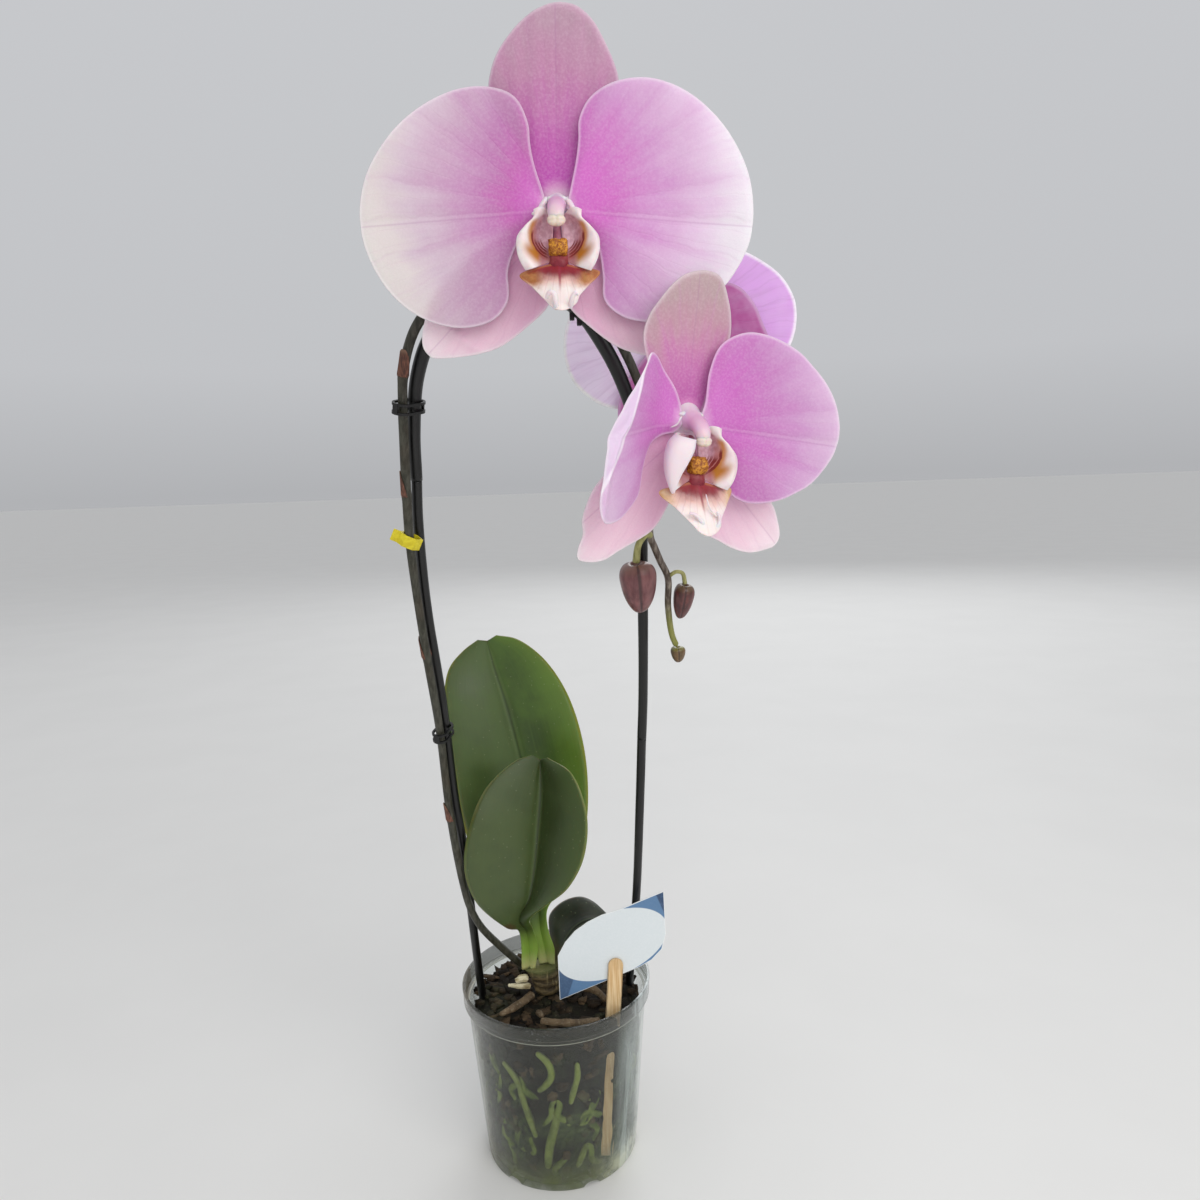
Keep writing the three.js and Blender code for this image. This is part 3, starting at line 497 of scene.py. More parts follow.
DUSKY_STOPS = [(0, "efdde4"), (0.07, "d48cbd"), (0.12, "b45aa0"), (0.22, "bb6ca6"), (0.32, "bd7ca4"),
               (0.43, "b78c9c"), (0.56, "b09699"), (0.68, "ad9a97"), (0.82, "b8a9a6")]
sepal_dusky = petal_paint("sepal_dusky", DUSKY_STOPS, "b493a4", rim="d4c6cb", rim_share=0.5, rim_width=1.6,
                          vein=0.2, reach_size=70, low=0, ribs=1.3)
# Painted light: lighter than the side sepals' own colour, to make up for the shade the petals throw on
# them.
LATERAL_STOPS = [(0, "e6ccd8"), (0.12, "d096ba"), (0.35, "e1b3cb"), (0.6, "e9c6d4"), (0.8, "ecd8de"),
                 (0.95, "efe3e5")]
sepal_side = petal_paint("sepal_side", LATERAL_STOPS, "c8a5b5", SEPAL_LINE, rim="ece2e4", rim_share=0.4,
                         low=0)
# The third flower's sepals seen from behind: the sepal magenta darkened with painted shade.
BACK_STOPS = [(0, "a55b92"), (0.4, "a35a92"), (0.9, "ad76a4")]
sepal_back_shaded = petal_paint("sepal_back_shaded", BACK_STOPS, "a84b8d", SEPAL_LINE, rim="b98ab0", rim_share=0.3, low=0)


def lobe_paint():
    """Side lobe: white outside; inside pink with dark red arcs, and amber low down."""
    p = Paint("lip_side_lobe", 0.42, Subsurface_Weight=0.25, Subsurface_Scale=0.002)
    p.place = p.field("spot", vector=True)
    x, y, _ = p.parts(p.place)
    side = abs(x)
    ex = side / 9.4
    ey = (y + 9.8) / 8.2
    far = p.math("SQRT", ex * ex + ey * ey) + (p.noise(0.5, 2) - 0.5) * 0.06
    pink = p.blend("cda6b4", "b98a98", p.noise(0.6, 3), 0.35, 0.65)
    pink = p.blend(pink, "d4b3c2", y, -3, -1)
    pale = p.blend("e9dfdd", "dfcdd0", p.noise(0.25, 2), 0.3, 0.7)
    p.base = p.blend(pink, pale, far, 0.98, 1.08)
    glow = p.span(abs(far - 1.05), 0, 0.17, 1, 0) * p.span(y, -3.5, -6)
    p.coat("c07a2a", glow * 0.9)
    low = p.span(y, -11, -15.5) * p.span(far, 1.62, 1.2)
    low = low * p.span(far, 0.9, 1.05) * p.span(side, 5, 7.5)
    p.coat("b0701c", low)
    inner = p.span(y, -12.5, -16) * p.span(side, 8, 5.5)
    p.coat("9c5560", inner * 0.85)
    keep = p.span(y, -6, -9) * p.span(side, 3, 4.8)
    deep = p.span(y, -10, -12.5)
    lines = None
    for at, wide in ((0.99, 0.05), (0.885, 0.055), (0.78, 0.05), (0.69, 0.035)):
        one = p.span(abs(far - at), wide * 0.6, wide, 1, 0)
        one = one * (deep if at < 0.95 else p.span(y, -7.5, -9.5))
        lines = one if lines is None else p.math("MAXIMUM", lines, one)
    lines = lines * keep
    between = p.span(far, 0.78, 0.86) * p.span(far, 1.04, 0.98) * keep
    p.coat("b9706a", between * 0.55)
    p.coat("7a1f1c", lines * 0.95)
    dots = p.span(p.cells(1.1), 0.1, 0.24, 1, 0)
    p.coat("7a1f2c", dots * (inner * 0.8))
    p.base = p.mix(p.field("front"), "e2d3d8", p.base)
    return p.done(p.noise(1.6, 2), 0.2, 0.0002)


def midlobe_paint(name, first, last, dark, light):
    """Middle lobe: crimson band at the top, wings that turn amber, cream point with fine lines."""
    p = Paint(name, 0.42, Subsurface_Weight=0.25, Subsurface_Scale=0.002)
    p.place = p.field("spot", vector=True)
    x, y, _ = p.parts(p.place)
    x = x - 0.4
    side = abs(x)
    blur = (p.noise(0.3, 3) - 0.5) * 2.6
    down = y * -1 + blur
    p.base = p.blend("dcb4ac", "ece0dc", down, 25, 29)
    rays = abs(p.math("SINE", x / (down - 12) * 20))
    ray = p.span(rays, 0, 0.4, 1, 0) * p.span(down, 22, 33, 0.4, 0.12)
    p.coat("b98a84", ray)
    fall = down + side * -0.12
    orange = p.span(side, first, last) * p.span(fall, 24.6, 29, 1, 0)
    p.coat(p.blend(dark, light, p.noise(0.3, 3), 0.35, 0.65), orange)
    red = p.span(side, 4.6, 11.5, 1, 0) * p.span(down, 22.4, 26.4, 1, 0)
    p.coat("7a1226", red)
    flare = p.span(side, 6, 13, 1, 0) * p.span(down, 21.4, 24, 1, 0)
    p.coat("8d1f2b", flare * 0.8)
    deep = p.span(side, 0.15, 0.75, 1, 0) * p.span(down, 23, 31, 0.85, 0)
    p.coat("8f2338", deep)
    pale = p.span(p.field("edge"), 0.1, 0.8, 0.45, 0)
    p.coat(p.blend("c08a58", "e6cdd0", down, 24, 29), pale)
    return p.done(ray * -1 + p.noise(1.6, 2) * 0.5, 0.35, 0.0003)


def callus_paint():
    """Warty lump in the throat: amber with dark red specks."""
    p = Paint("lip_callus", 0.5)
    p.base = p.blend("8f4d10", "cf8e28", p.noise(900, 3), 0.38, 0.62)
    p.coat("6e1c10", p.cells(1300), 0.1, 0.42, 0.85, 0)
    return p.done(p.noise(1400, 3), 0.8, 0.0004)


def claw_paint():
    """Foot of the middle lobe: from pink-brown mottling down to crimson."""
    p = Paint("lip_claw", 0.5)
    p.base = p.ramp(p.field("share") + (p.noise(700, 3) - 0.5) * 0.4, [
        (0, "a8705a"), (0.25, "8e3c30"), (0.5, "97484c"), (0.75, "7c1a2a"), (1, "74122a")])
    p.coat("5e1018", p.cells(1100), 0.1, 0.3, 0.7, 0)
    return p.done(p.noise(1500, 2), 0.5, 0.0003)


def pale_paint(name, first, second):
    """Smooth waxy flesh in two close shades."""
    p = Paint(name, 0.4, Subsurface_Weight=0.3, Subsurface_Scale=0.003)
    p.base = p.blend(first, second, p.noise(220, 3), 0.35, 0.65)
    return p.done(p.noise(1320, 2), 0.2, 0.0002)


def column_paint():
    p = Paint("column_flesh", 0.38, Subsurface_Weight=0.3, Subsurface_Scale=0.003)
    p.base = p.ramp(p.field("share") + (p.noise(400, 2) - 0.5) * 0.2, [
        (0, "e9dcdc"), (0.2, "e6d3da"), (0.38, "dfbed3"), (0.6, "d5a9c6"), (0.8, "dab4cb"),
        (0.94, "dfc4cb"), (0.99, "e0d0c0"), (1, "e0d0c0")])
    return p.done(p.noise(1500, 2), 0.2, 0.0002)


def leaf_paint(name, first, second, edge_text, base_text, side_light=0, gloss=0.42, tatter=0, right=0):
    """Leathery leaf: fine lengthwise veins, soft mottling, a pale foot and a pale rim, with painted light
    from the right: a lighter left half, a yellow-green glow towards the right edge, painted shade on the
    right half and in the midrib groove, and a painted highlight on the ridges beside it.
    """
    p = Paint(name, gloss, Subsurface_Weight=0.12, Subsurface_Scale=0.003, Specular_IOR_Level=0.45,
              Coat_Weight=0.12, Coat_Roughness=0.35)
    across = p.field("across")
    share = p.field("share")
    wide = abs(across)
    fibre = p.noise(1, 3, p.vector(across * 30, share * 5, 0))
    line = p.noise(1, 2, p.vector(across * 85, share * 7, 4))
    cloud = p.noise(45, 4)
    p.base = p.blend(first, second, cloud, 0.3, 0.7)
    p.coat(second, fibre, 0.45, 0.8, 0, 0.5)
    p.coat(first, line, 0.5, 0.75, 0, 0.25)
    # painted light from the right: a greyer, lighter left half and a yellow-green glow towards the right
    # edge; right gives painted shade on the right half
    p.coat("4b5c30", across, -0.05, 0.1, side_light, 0)
    p.coat("5f7f22", across, 0.35, 1, 0, side_light)
    p.coat("26350f", across, 0, 0.12, 0, right)
    # painted shade in the midrib groove, and a painted highlight on the ridges either side of it
    p.coat("1e2811", p.span(wide, 0, 0.03, 1, 0) * 0.55)
    ridge = p.span(wide, 0.02, 0.05) * p.span(wide, 0.05, 0.1, 1, 0)
    p.coat("66764a", ridge * 0.22)
    p.coat("8d9470", p.cells(260), 0.06, 0.14, 0.3, 0)
    # pale rim: the edge's own paler colour, partly painted light shining through it
    p.coat(edge_text, wide, 0.955, 0.995)
    foot = share + (fibre - 0.5) * 0.05
    p.coat(base_text, foot, 0.1, 0.26, 1, 0)
    p.coat("bdb982", foot, 0, 0.1, 0.8, 0)
    if tatter:
        x, _, z = p.parts(p.place)
        dx = (x + 0.0285) / 0.0055
        dz = (z - 0.1575) / 0.0065
        p.coat("4a3a20", dx * dx + dz * dz + p.noise(350, 3) * 0.9, 0.9, 1.6, tatter, 0)
    under = p.blend("4f5e36", "606e46", cloud, 0.3, 0.7)
    p.coat(under, (1 - p.field("front")) * 0.6)
    rough = p.span(cloud, 0.3, 0.7, gloss - 0.06, gloss + 0.1)
    return p.done(line * 0.5 + fibre * 0.6, 0.3, 0.0003, rough)


def stem_paint(name, first, second, red=0, green=0):
    """Stem or stalk: lengthwise streaks and small specks, redder or greener towards its end."""
    p = Paint(name, 0.45, Specular_IOR_Level=0.4)
    streak = p.grain(90, 4, 6, 6, 1)
    cloud = p.noise(60, 3)
    p.base = p.blend(first, second, streak, 0.35, 0.65)
    p.coat("453a2e", cloud, 0.5, 0.75, 0, 0.4)
    p.coat("6e6c58", p.cells(900), 0.06, 0.15, 0.4, 0)
    if red:
        p.coat("b58a94", p.field("share"), 0.35, 0.95, 0, red)
    if green:
        end = p.field("share")
        p.coat(p.blend("4d4038", "8f8478", streak, 0.4, 0.65), p.span(end, 0.86, 0.9) * green)
        p.coat("82843f", p.span(end, 0.955, 0.985) * green)
    return p.done(streak, 0.3, 0.0003, p.span(cloud, 0.3, 0.7, 0.36, 0.55))


def bract_paint():
    p = Paint("bract_scale", 0.7)
    streak = p.grain(150, 4, 8, 8, 1)
    p.base = p.blend("4a3026", "7d5240", streak, 0.35, 0.7)
    p.coat("9a7f66", p.field("share"), 0.8, 1, 0, 0.5)
    return p.done(streak, 0.5, 0.0004)


def bud_paint(name, first, second, foot):
    p = Paint(name, 0.36, Subsurface_Weight=0.1, Subsurface_Scale=0.002, Coat_Weight=0.15,
              Coat_Roughness=0.3)
    share = p.field("share")
    streak = p.grain(70, 4, 5, 5, 1)
    p.base = p.blend(first, second, streak, 0.3, 0.7)
    p.coat(foot, share, 0, 0.2, 0.6, 0)
    p.coat("6e4e40", share, 0.75, 1, 0, 0.3)
    p.coat("7a5a54", p.cells(700), 0.1, 0.3, 0.3, 0)
    # painted shade in the grooves where the folded scales meet
    p.coat("2c1414", p.field("fold"), 0.2, 0.9, 0, 0.75)
    return p.done(streak, 0.25, 0.0003)


def root_paint(name, first, second, third, buried=False):
    """Corky root in mottled shades with scars; buried, it gets painted shade where it faces the mix."""
    p = Paint(name, 0.7)
    cloud = p.noise(110, 4)
    fine = p.noise(700, 3)
    p.base = p.blend(first, second, cloud, 0.35, 0.65)
    p.coat(third, fine, 0.52, 0.72, 0, 0.6)
    p.coat("332619", p.cells(330), 0.05, 0.16, 0.7, 0)
    if buried:
        # painted shade on the side that faces the mix
        p.coat("1e1f13", p.field("wallward"), 0, 0.85, 0.85, 0)
    return p.done(cloud * 0.8 + fine * 0.4, 0.6, 0.0006)


def bark_paint():
    """Potting mix: each chip has its own shade from 0 to 1, with fibres, soil dust and algae.

    Buried roots have shades from 2, where they face the mix and get painted shade, to 3, where they face
    the wall."""
    p = Paint("bark_chips", 0.9, Specular_IOR_Level=0.25)
    shade = p.field("shade")
    p.base = p.ramp(shade, [(0, "0f0c08"), (0.3, "1d1710"), (0.55, "2b2117"), (0.8, "3f3123"),
                            (1, "5c4b37")])
    fibre = p.grain(260, 4, 1, 3, 1)
    p.coat("1b150f", fibre, 0.4, 0.7, 0, 0.5)
    z = p.parts(p.place)[2]
    algae = p.span(p.noise(38, 4), 0.44, 0.62) * p.span(z, 0.045, 0.1, 0.75, 0.15)
    p.coat(p.blend("2e3820", "55633a", p.noise(300, 2), 0.3, 0.7), algae)
    p.coat("6b6250", p.noise(900, 2), 0.62, 0.75, 0, 0.5)
    skin = p.blend("4a5727", "76823f", p.noise(130, 4), 0.35, 0.65)
    # painted shade on buried roots where they face the mix
    skin = p.blend(skin, "1a1a10", shade, 2, 2.85, 0.85, 0)
    p.coat(skin, shade, 1.4, 1.6)
    return p.done(fibre, 0.8, 0.0008)


def crown_paint():
    p = Paint("crown_skin", 0.75)
    z = p.parts(p.place)[2]
    ring = p.grain(500, 3, 0.25, 0.25, 1)
    fibre = p.grain(500, 3, 1, 1, 0.15)
    p.base = p.blend("3a3020", "6b5c3c", ring, 0.35, 0.65)
    p.coat("75804a", z, 0.116, 0.121, 0, 0.55)
    p.coat("a39468", fibre, 0.55, 0.75, 0, 0.6)
    return p.done(ring + fibre, 0.7, 0.0008)


def stub_paint():
    p = Paint("old_leaf_base", 0.65)
    fibre = p.grain(420, 4, 0.3, 1.5, 1.5)
    p.base = p.blend("b9ac82", "e0d8b6", fibre, 0.35, 0.65)
    p.coat("6a5836", p.noise(120, 3), 0.55, 0.7, 0, 0.7)
    return p.done(fibre, 0.6, 0.0006)


def black_paint(name, rough):
    """Black moulded plastic with dust and faint wear."""
    p = Paint(name, rough, Specular_IOR_Level=0.5)
    dust = p.noise(70, 5)
    p.base = p.blend("050505", "171714", dust, 0.45, 0.8, 0, 0.5)
    wear = p.grain(600, 3, 3, 3, 0.4)
    p.coat("292924", wear, 0.6, 0.8, 0, 0.3)
    return p.done(wear, 0.2, 0.0002, p.span(dust, 0.35, 0.7, rough - 0.08, rough + 0.14))


def tape_paint():
    p = Paint("yellow_tape", 0.5)
    crinkle = p.grain(500, 3, 0.4, 1, 1)
    p.base = p.blend("c9b714", "e0d22a", crinkle, 0.3, 0.7)
    p.coat("a89a1c", p.noise(180, 3), 0.55, 0.75, 0, 0.5)
    return p.done(crinkle, 0.5, 0.0004)


def card_paint():
    """Printed card: a bare pale oval on three blues, with white cut edges."""
    p = Paint("printed_card", 0.42, Specular_IOR_Level=0.5)
    x, _, z = p.parts(p.place)
    dx = x - 0.0343
    dz = z - 0.1497
    turn = math.radians(20.5)
    along = dx * math.cos(turn) + dz * math.sin(turn)
    across = dz * math.cos(turn) - dx * math.sin(turn)
    far = p.math("SQRT", (along / 0.0357) ** 2 + (across / 0.0203) ** 2)
    blue = p.blend("3f5878", "587ba0", x + z * -0.35, -0.0355, -0.0345)
    blue = p.blend(blue, "2f4768", x + z * 0.4, 0.133, 0.134)
    fleck = p.noise(800, 3)
    blue = p.blend(blue, "6d8cab", fleck, 0.4, 0.8, 0, 0.25)
    paper = p.blend("d6dddf", "dae0e2", fleck, 0.3, 0.8)
    p.base = p.blend(blue, paper, far, 0.985, 1, 1, 0)
    p.coat("eef1f0", p.field("edge"), 0.15, 0.45, 1, 0)
    return p.done(p.noise(1800, 2), 0.08, 0.0002)


def wood_paint():
    p = Paint("stick_wood", 0.62)
    grain = p.grain(420, 4, 3, 3, 0.12)
    p.base = p.blend("c9a06a", "e6cca0", grain, 0.3, 0.7)
    p.coat("a98558", p.noise(60, 3), 0.5, 0.8, 0, 0.45)
    p.coat("7c6240", p.parts(p.place)[2], 0.1, 0.112, 0.35, 0)
    return p.done(grain, 0.4, 0.0003)


def pot_paint():
    """Clear, slightly clouded plastic with dew and a green film near its foot, with painted reflections on
    its right and left sides and painted light that makes its right side lighter.

    around is 0 at the front and grows to the right, in radians."""
    p = Paint("clear_plastic", 0.32)
    x, y, z = p.parts(p.place)
    cloud = p.noise(32, 4)
    dew = p.span(p.cells(520), 0.05, 0.16, 1, 0) * p.span(p.noise(60, 2), 0.48, 0.62)
    film = p.span(z, 0.003, 0.026, 1, 0) * p.span(p.noise(90, 3), 0.3, 0.62, 0.35, 1)
    rim = p.span(z, 0.1015, 0.1045)
    around = p.math("ARCTAN2", x, y * -1)
    streaks = p.noise(1, 3, p.vector(around * 14, z * 22, 0))
    # painted reflection: a streaked bluish-white band on the right side
    painted_reflection_right = p.span(around, 0.62, 0.9) * p.span(around, 1.6, 1.25) * p.span(streaks, 0.35, 0.62, 0.1, 0.5)
    # painted reflection: a warm streaked band on the left side
    painted_reflection_left = p.span(around, -0.95, -1.25) * p.span(around, -2.1, -1.7)
    painted_reflection_left = painted_reflection_left * p.span(streaks, 0.3, 0.65, 0.25, 0.55)
    # painted light: the wall, its green film and the rim turn lighter towards the right
    clean = p.blend("6d7158", "a3aea6", around, 0.3, 1)
    filmed = p.blend("5f6a30", "b4b794", around, 0.25, 0.8)
    rim_tone = p.blend("2b2c20", "b3b9b8", around, 0.8, 1.2)
    p.base = p.mix(rim, p.mix(film, clean, filmed), rim_tone)
    from_step = abs(z - RIM_STEP * MM)
    # painted highlight: a thin light line along the step below the rim
    p.coat("b4b6a4", from_step, 0.0002, 0.0007, 0.9, 0)
    p.coat("c3d0ce", painted_reflection_right)
    p.coat("83765c", painted_reflection_left)
    p.coat("dfe8e6", dew)
    # the haze holds the clouding, film and dew, and also the painted reflections, the painted lighter right
    # side and the painted highlight at the step
    haze = p.span(cloud, 0.35, 0.8, 0.01, 0.07) + film * 0.5 + dew * 0.22 + (painted_reflection_right + painted_reflection_left) * 0.8
    haze = haze + film * p.span(around, 0.3, 1) * 0.35 + rim * 0.4
    haze = p.math("ADD", haze, p.span(from_step, 0.0002, 0.0007, 0.5, 0), clamp=True)
    p.done(cloud + dew * 0.4, 0.15, 0.0006)
    clear = p.node("ShaderNodeBsdfTransparent", {0: (0.93, 0.95, 0.94, 1)})
    body = p.node("ShaderNodeMixShader", {0: haze, 1: clear, 2: Wire(p, p.shader.outputs[0])})
    gloss = p.node("ShaderNodeBsdfGlossy", {"Color": (1, 1, 1, 1), "Roughness": 0.16})
    facing = p.node("ShaderNodeLayerWeight", {"Blend": 0.5}, out="Facing")
    final = p.node("ShaderNodeMixShader", {0: facing ** 4 * 0.5 + 0.03, 1: body, 2: gloss})
    p.feed(p.tree.nodes["Material Output"].inputs["Surface"], final)
    return p.material


# Flowers

DORSAL_SEPAL = [
    [0, 0.5], [6, 4], [9.5, 11], [12, 19], [15.5, 28], [20, 37], [22.3, 44], [20.8, 49.5], [16.1, 58.5],
    [12.2, 63.8], [6.9, 67.3], [0.6, 68.2], [-5.4, 66.7], [-10.8, 63.8], [-16.2, 58.8], [-20.6, 53.1],
    [-23.3, 47.3], [-24.3, 41], [-20.5, 32], [-13.5, 21], [-9.5, 11], [-6, 4],
]
RIGHT_PETAL = [
    [3.9, 0.8], [5, 6], [7.2, 16], [8.2, 23.5], [8.4, 30], [12.2, 37], [20, 41.6],
    [31.7, 43], [42.4, 40.4], [52.6, 34.6], [61.8, 25.4], [69.2, 11.8], [71.4, -1.7],
    [70.2, -12], [65, -22.5], [58.8, -29.6], [51.5, -34.6], [42.2, -38.2], [33.5, -39.1],
    [24.1, -37.1], [17.6, -31.4], [17, -23], [15, -12], [10.3, -4.8], [6, -3],
]
LEFT_PETAL = [
    [-3.9, 0.8], [-5.2, 6], [-8.2, 15.2], [-9.5, 21.8], [-10.1, 28.4], [-14.6, 36.8],
    [-24.1, 40.2], [-35.8, 39.4], [-48.6, 33.8], [-59.9, 24], [-69, 10.2], [-71.8, -5.1],
    [-68.4, -19], [-60, -31.4], [-48.3, -38.9], [-35.2, -41.3], [-23.8, -38.2], [-18.6, -31.4],
    [-18.4, -20.8], [-13.8, -9.8], [-9.2, -4.8], [-6, -3],
]
LATERAL_SEPAL = [
    [-0.05, -0.5], [-0.05, -12], [-0.6, -22], [-4.0, -33], [-11.7, -40.4], [-22.6, -47.9],
    [-30.4, -50.5], [-37.3, -51.6], [-43.9, -52.2], [-49.7, -51.8], [-52.4, -48.5],
    [-52.2, -42.5], [-48, -32], [-38, -21], [-23, -10], [-9, 0],
]
MIDLOBE = [
    [-13.9, -23.6], [-8, -21.2], [0.4, -19.6], [8, -21], [15.1, -22.3], [11, -27],
    [7.3, -31], [5.8, -34], [1.5, -36.3], [-2, -35.6], [-5, -32.6], [-9.4, -28],
]
SECOND_DORSAL = [
    [0, 0.5], [5, 3.5], [8.5, 12], [12.5, 23], [16, 34.6], [15.4, 42], [13.3, 48], [10.8, 53], [7.9, 55.8],
    [2.2, 57], [-6.1, 54.8], [-11.1, 50.7], [-15.5, 45], [-18.7, 39.3], [-20.5, 32],
    [-18, 22], [-11, 12], [-5, 4],
]
SECOND_RIGHT_PETAL = [
    [3.9, 0.8], [5, 9.4], [5.8, 20.8], [9.5, 30.1], [18.8, 35.4], [28, 35.1], [40.2, 30.4],
    [47, 25.2], [53.2, 19.1], [58, 12], [60.8, 4], [61.3, -2.7], [60.1, -8.8], [53.3, -20.1],
    [46.8, -24.9], [40.1, -28.2], [32.7, -29.8], [26.5, -29.7], [20.8, -27.2], [17, -22.9],
    [14, -13], [10, -5], [6, -3],
]
SECOND_LEFT_PETAL = [
    [-3.9, 0.8], [-7.9, 12.4], [-14.5, 19.8], [-20, 24.6], [-24.5, 25.6], [-27, 21.6],
    [-31.6, 16.8], [-36.5, 12.4], [-40.8, 8.9], [-45.2, 5], [-48.6, 1.7], [-51.4, -3.6],
    [-52.4, -8.5], [-52.8, -13], [-53.2, -18.5], [-54.4, -27], [-53, -32.5], [-50, -34.6],
    [-45, -35], [-39.2, -34], [-33, -30.5], [-28, -26], [-25, -17], [-20, -9], [-12, -4.5], [-6, -3],
]
SECOND_LEFT_LATERAL = [
    [-0.05, -0.5], [-0.05, -12], [-0.8, -22], [-5.1, -34], [-10.5, -43], [-23.7, -51.9],
    [-29.9, -55.5], [-36.3, -56.2], [-40.6, -54.9], [-40.9, -50.9], [-39.4, -44.9],
    [-40, -38.9], [-38.8, -33], [-36, -26], [-28, -16], [-18, -8], [-8, 0],
]
SECOND_RIGHT_LATERAL = [
    [0.05, -0.5], [8, 0], [19, -9], [32, -19], [44.2, -31.3], [47.4, -36.8], [51, -47],
    [49.9, -50.4], [45.1, -52.1], [37.4, -53.3], [28.9, -51.4], [21.3, -47.9], [13, -44],
    [6, -37], [1.2, -24], [0.05, -12],
]
THIRD_LEFT_LATERAL = [
    [-1.9, -3.2], [-6, -12], [-14, -22], [-24, -31], [-34, -36.5], [-42, -36], [-47, -30],
    [-47.9, -22.4], [-47.3, -14], [-46.9, -5], [-45, 2.5], [-41, 9.9], [-33.7, 15.5], [-24, 14],
    [-13, 7.5], [-5, 0.5],
]


def mirrored(outline):
    return [[-x, y] for x, y in outline]


def middle_of(outline):
    p = np.array(outline, float)
    return (p.min(0) + p.max(0)) / 2


def to_line(points, line):
    """Shortest distance in mm from each point to a closed row of points."""
    best = np.full(len(points), 1e9)
    for p, q in zip(line, np.roll(line, -1, 0)):
        d = q - p
        t = np.clip(((points - p) @ d) / max(float(d @ d), 1e-9), 0, 1)
        best = np.minimum(best, np.linalg.norm(points - p - t[:, None] * d, axis=1))
    return best


def outward(rim):
    """Directions in the plane that point out of a closed row of points."""
    tangent = unit(np.roll(rim, -1, 0) - np.roll(rim, 1, 0))
    out = np.column_stack([tangent[:, 1], -tangent[:, 0]])
    area = np.sum(rim[:, 0] * np.roll(rim[:, 1], -1) - np.roll(rim[:, 0], -1) * rim[:, 1])
    return out if area > 0 else -out


def inside_of(points, outline):
    """Signed distance in mm to an outline, positive inside."""
    ring = even(spline(outline, closed=True), 90, closed=True)
    within = np.zeros(len(points), bool)
    for p, q in zip(ring, np.roll(ring, -1, 0)):
        crosses = (p[1] > points[:, 1]) != (q[1] > points[:, 1])
        rise = q[1] - p[1] if q[1] != p[1] else 1e-9
        x = (q[0] - p[0]) * (points[:, 1] - p[1]) / rise + p[0]
        within ^= crosses & (points[:, 0] < x)
    return np.where(within, 1, -1) * to_line(points, ring)


def tepal(outline, middle, height, half=0.55, count=150, rings=24, behind=()):
    """Thin curved plate inside an outline, with a rounded rim.

    height(x, y, mm_from_edge) gives its level, and behind the outlines of the parts behind it, where this
    plate gets painted shade."""
    rim = even(spline(outline, closed=True), count, closed=True)
    steps = 1 - (1 - np.linspace(0, 1, rings + 1)[1:]) ** 1.5
    flat = np.vstack([np.array([middle])] + [middle + (rim - middle) * s for s in steps])
    edge = to_line(flat, rim)
    z = height(flat[:, 0], flat[:, 1], edge)
    thick = half * (0.35 + 0.65 * smooth(0, 2.5, edge))
    n = len(flat)
    lip_z = height(rim[:, 0], rim[:, 1], np.zeros(count))
    verts = np.vstack([
        np.column_stack([flat, z + thick]), np.column_stack([flat, z - thick]),
        np.column_stack([rim + 0.22 * outward(rim), lip_z]),
    ])
    faces = []
    last = n - count
    for start, flip in ((0, False), (n, True)):
        side = [(start, start + 1 + j, start + 1 + (j + 1) % count) for j in range(count)]
        side += ring_faces(rings, count, start + 1)
        faces += [f[::-1] for f in side] if flip else side
    for j in range(count):
        k = (j + 1) % count
        faces.append((last + j, 2 * n + j, 2 * n + k, last + k))
        faces.append((2 * n + j, n + last + j, n + last + k, 2 * n + k))
    # under marks where a part lies behind this plate, for painted shade
    under = np.zeros(n)
    for other in behind:
        under = np.maximum(under, smooth(-1.5, 2.5, inside_of(flat, other)))

    def both(values, end):
        return np.concatenate([values, values, end])[:, None]
    spot = np.column_stack([flat, z])
    fields = {
        "spot": np.vstack([spot, spot, np.column_stack([rim, lip_z])]),
        "edge": both(edge, np.zeros(count)),
        "under": both(under, under[last:n]),
        "front": np.concatenate([np.ones(n), np.zeros(n), np.ones(count)])[:, None],
    }
    return {"verts": verts, "faces": faces, "fields": fields}


def bend(shape, hinge, degrees, soft=6.0):
    """Turns the outer part of a petal forward about an upright line at x = hinge."""
    side = math.copysign(1, hinge)
    d = np.linspace(-soft, 90, 1200)
    angle = math.radians(degrees) * smooth(-soft, soft, d)
    step = d[1] - d[0]
    run = -soft + np.concatenate([[0], np.cumsum(np.cos(angle[:-1]) * step)])
    rise = np.concatenate([[0], np.cumsum(np.sin(angle[:-1]) * step)])
    verts = shape["verts"]
    far = (verts[:, 0] - hinge) * side
    turn = np.interp(far, d, angle)
    z = verts[:, 2].copy()
    moved = far > -soft
    turned = hinge + side * (np.interp(far, d, run) - z * np.sin(turn))
    verts[:, 0] = np.where(moved, turned, verts[:, 0])
    verts[:, 2] = np.where(moved, np.interp(far, d, rise) + z * np.cos(turn), z)


def petal_height(phase):
    """A shallow cup with a crease along the midrib, faint veins and a waved margin."""
    def height(x, y, edge):
        z = 1.3 + 0.0003 * (x * x + y * y) + 0.5 * np.sin(x / 9 + y / 13)
        off = y + PETAL_DROP + PETAL_SAG * np.abs(x)
        z = z - 0.5 * smooth(9, 20, np.abs(x)) * np.exp(-((off / 2.3) ** 2))
        angle = np.arctan2(y, np.abs(x))
        z = z + 0.07 * np.sin(angle * 17 + phase) * smooth(12, 45, np.hypot(x, y))
        return z + (1 - smooth(0, 9, edge)) * (0.5 * np.sin(angle * 5.5 + phase) - 0.35)
    return height


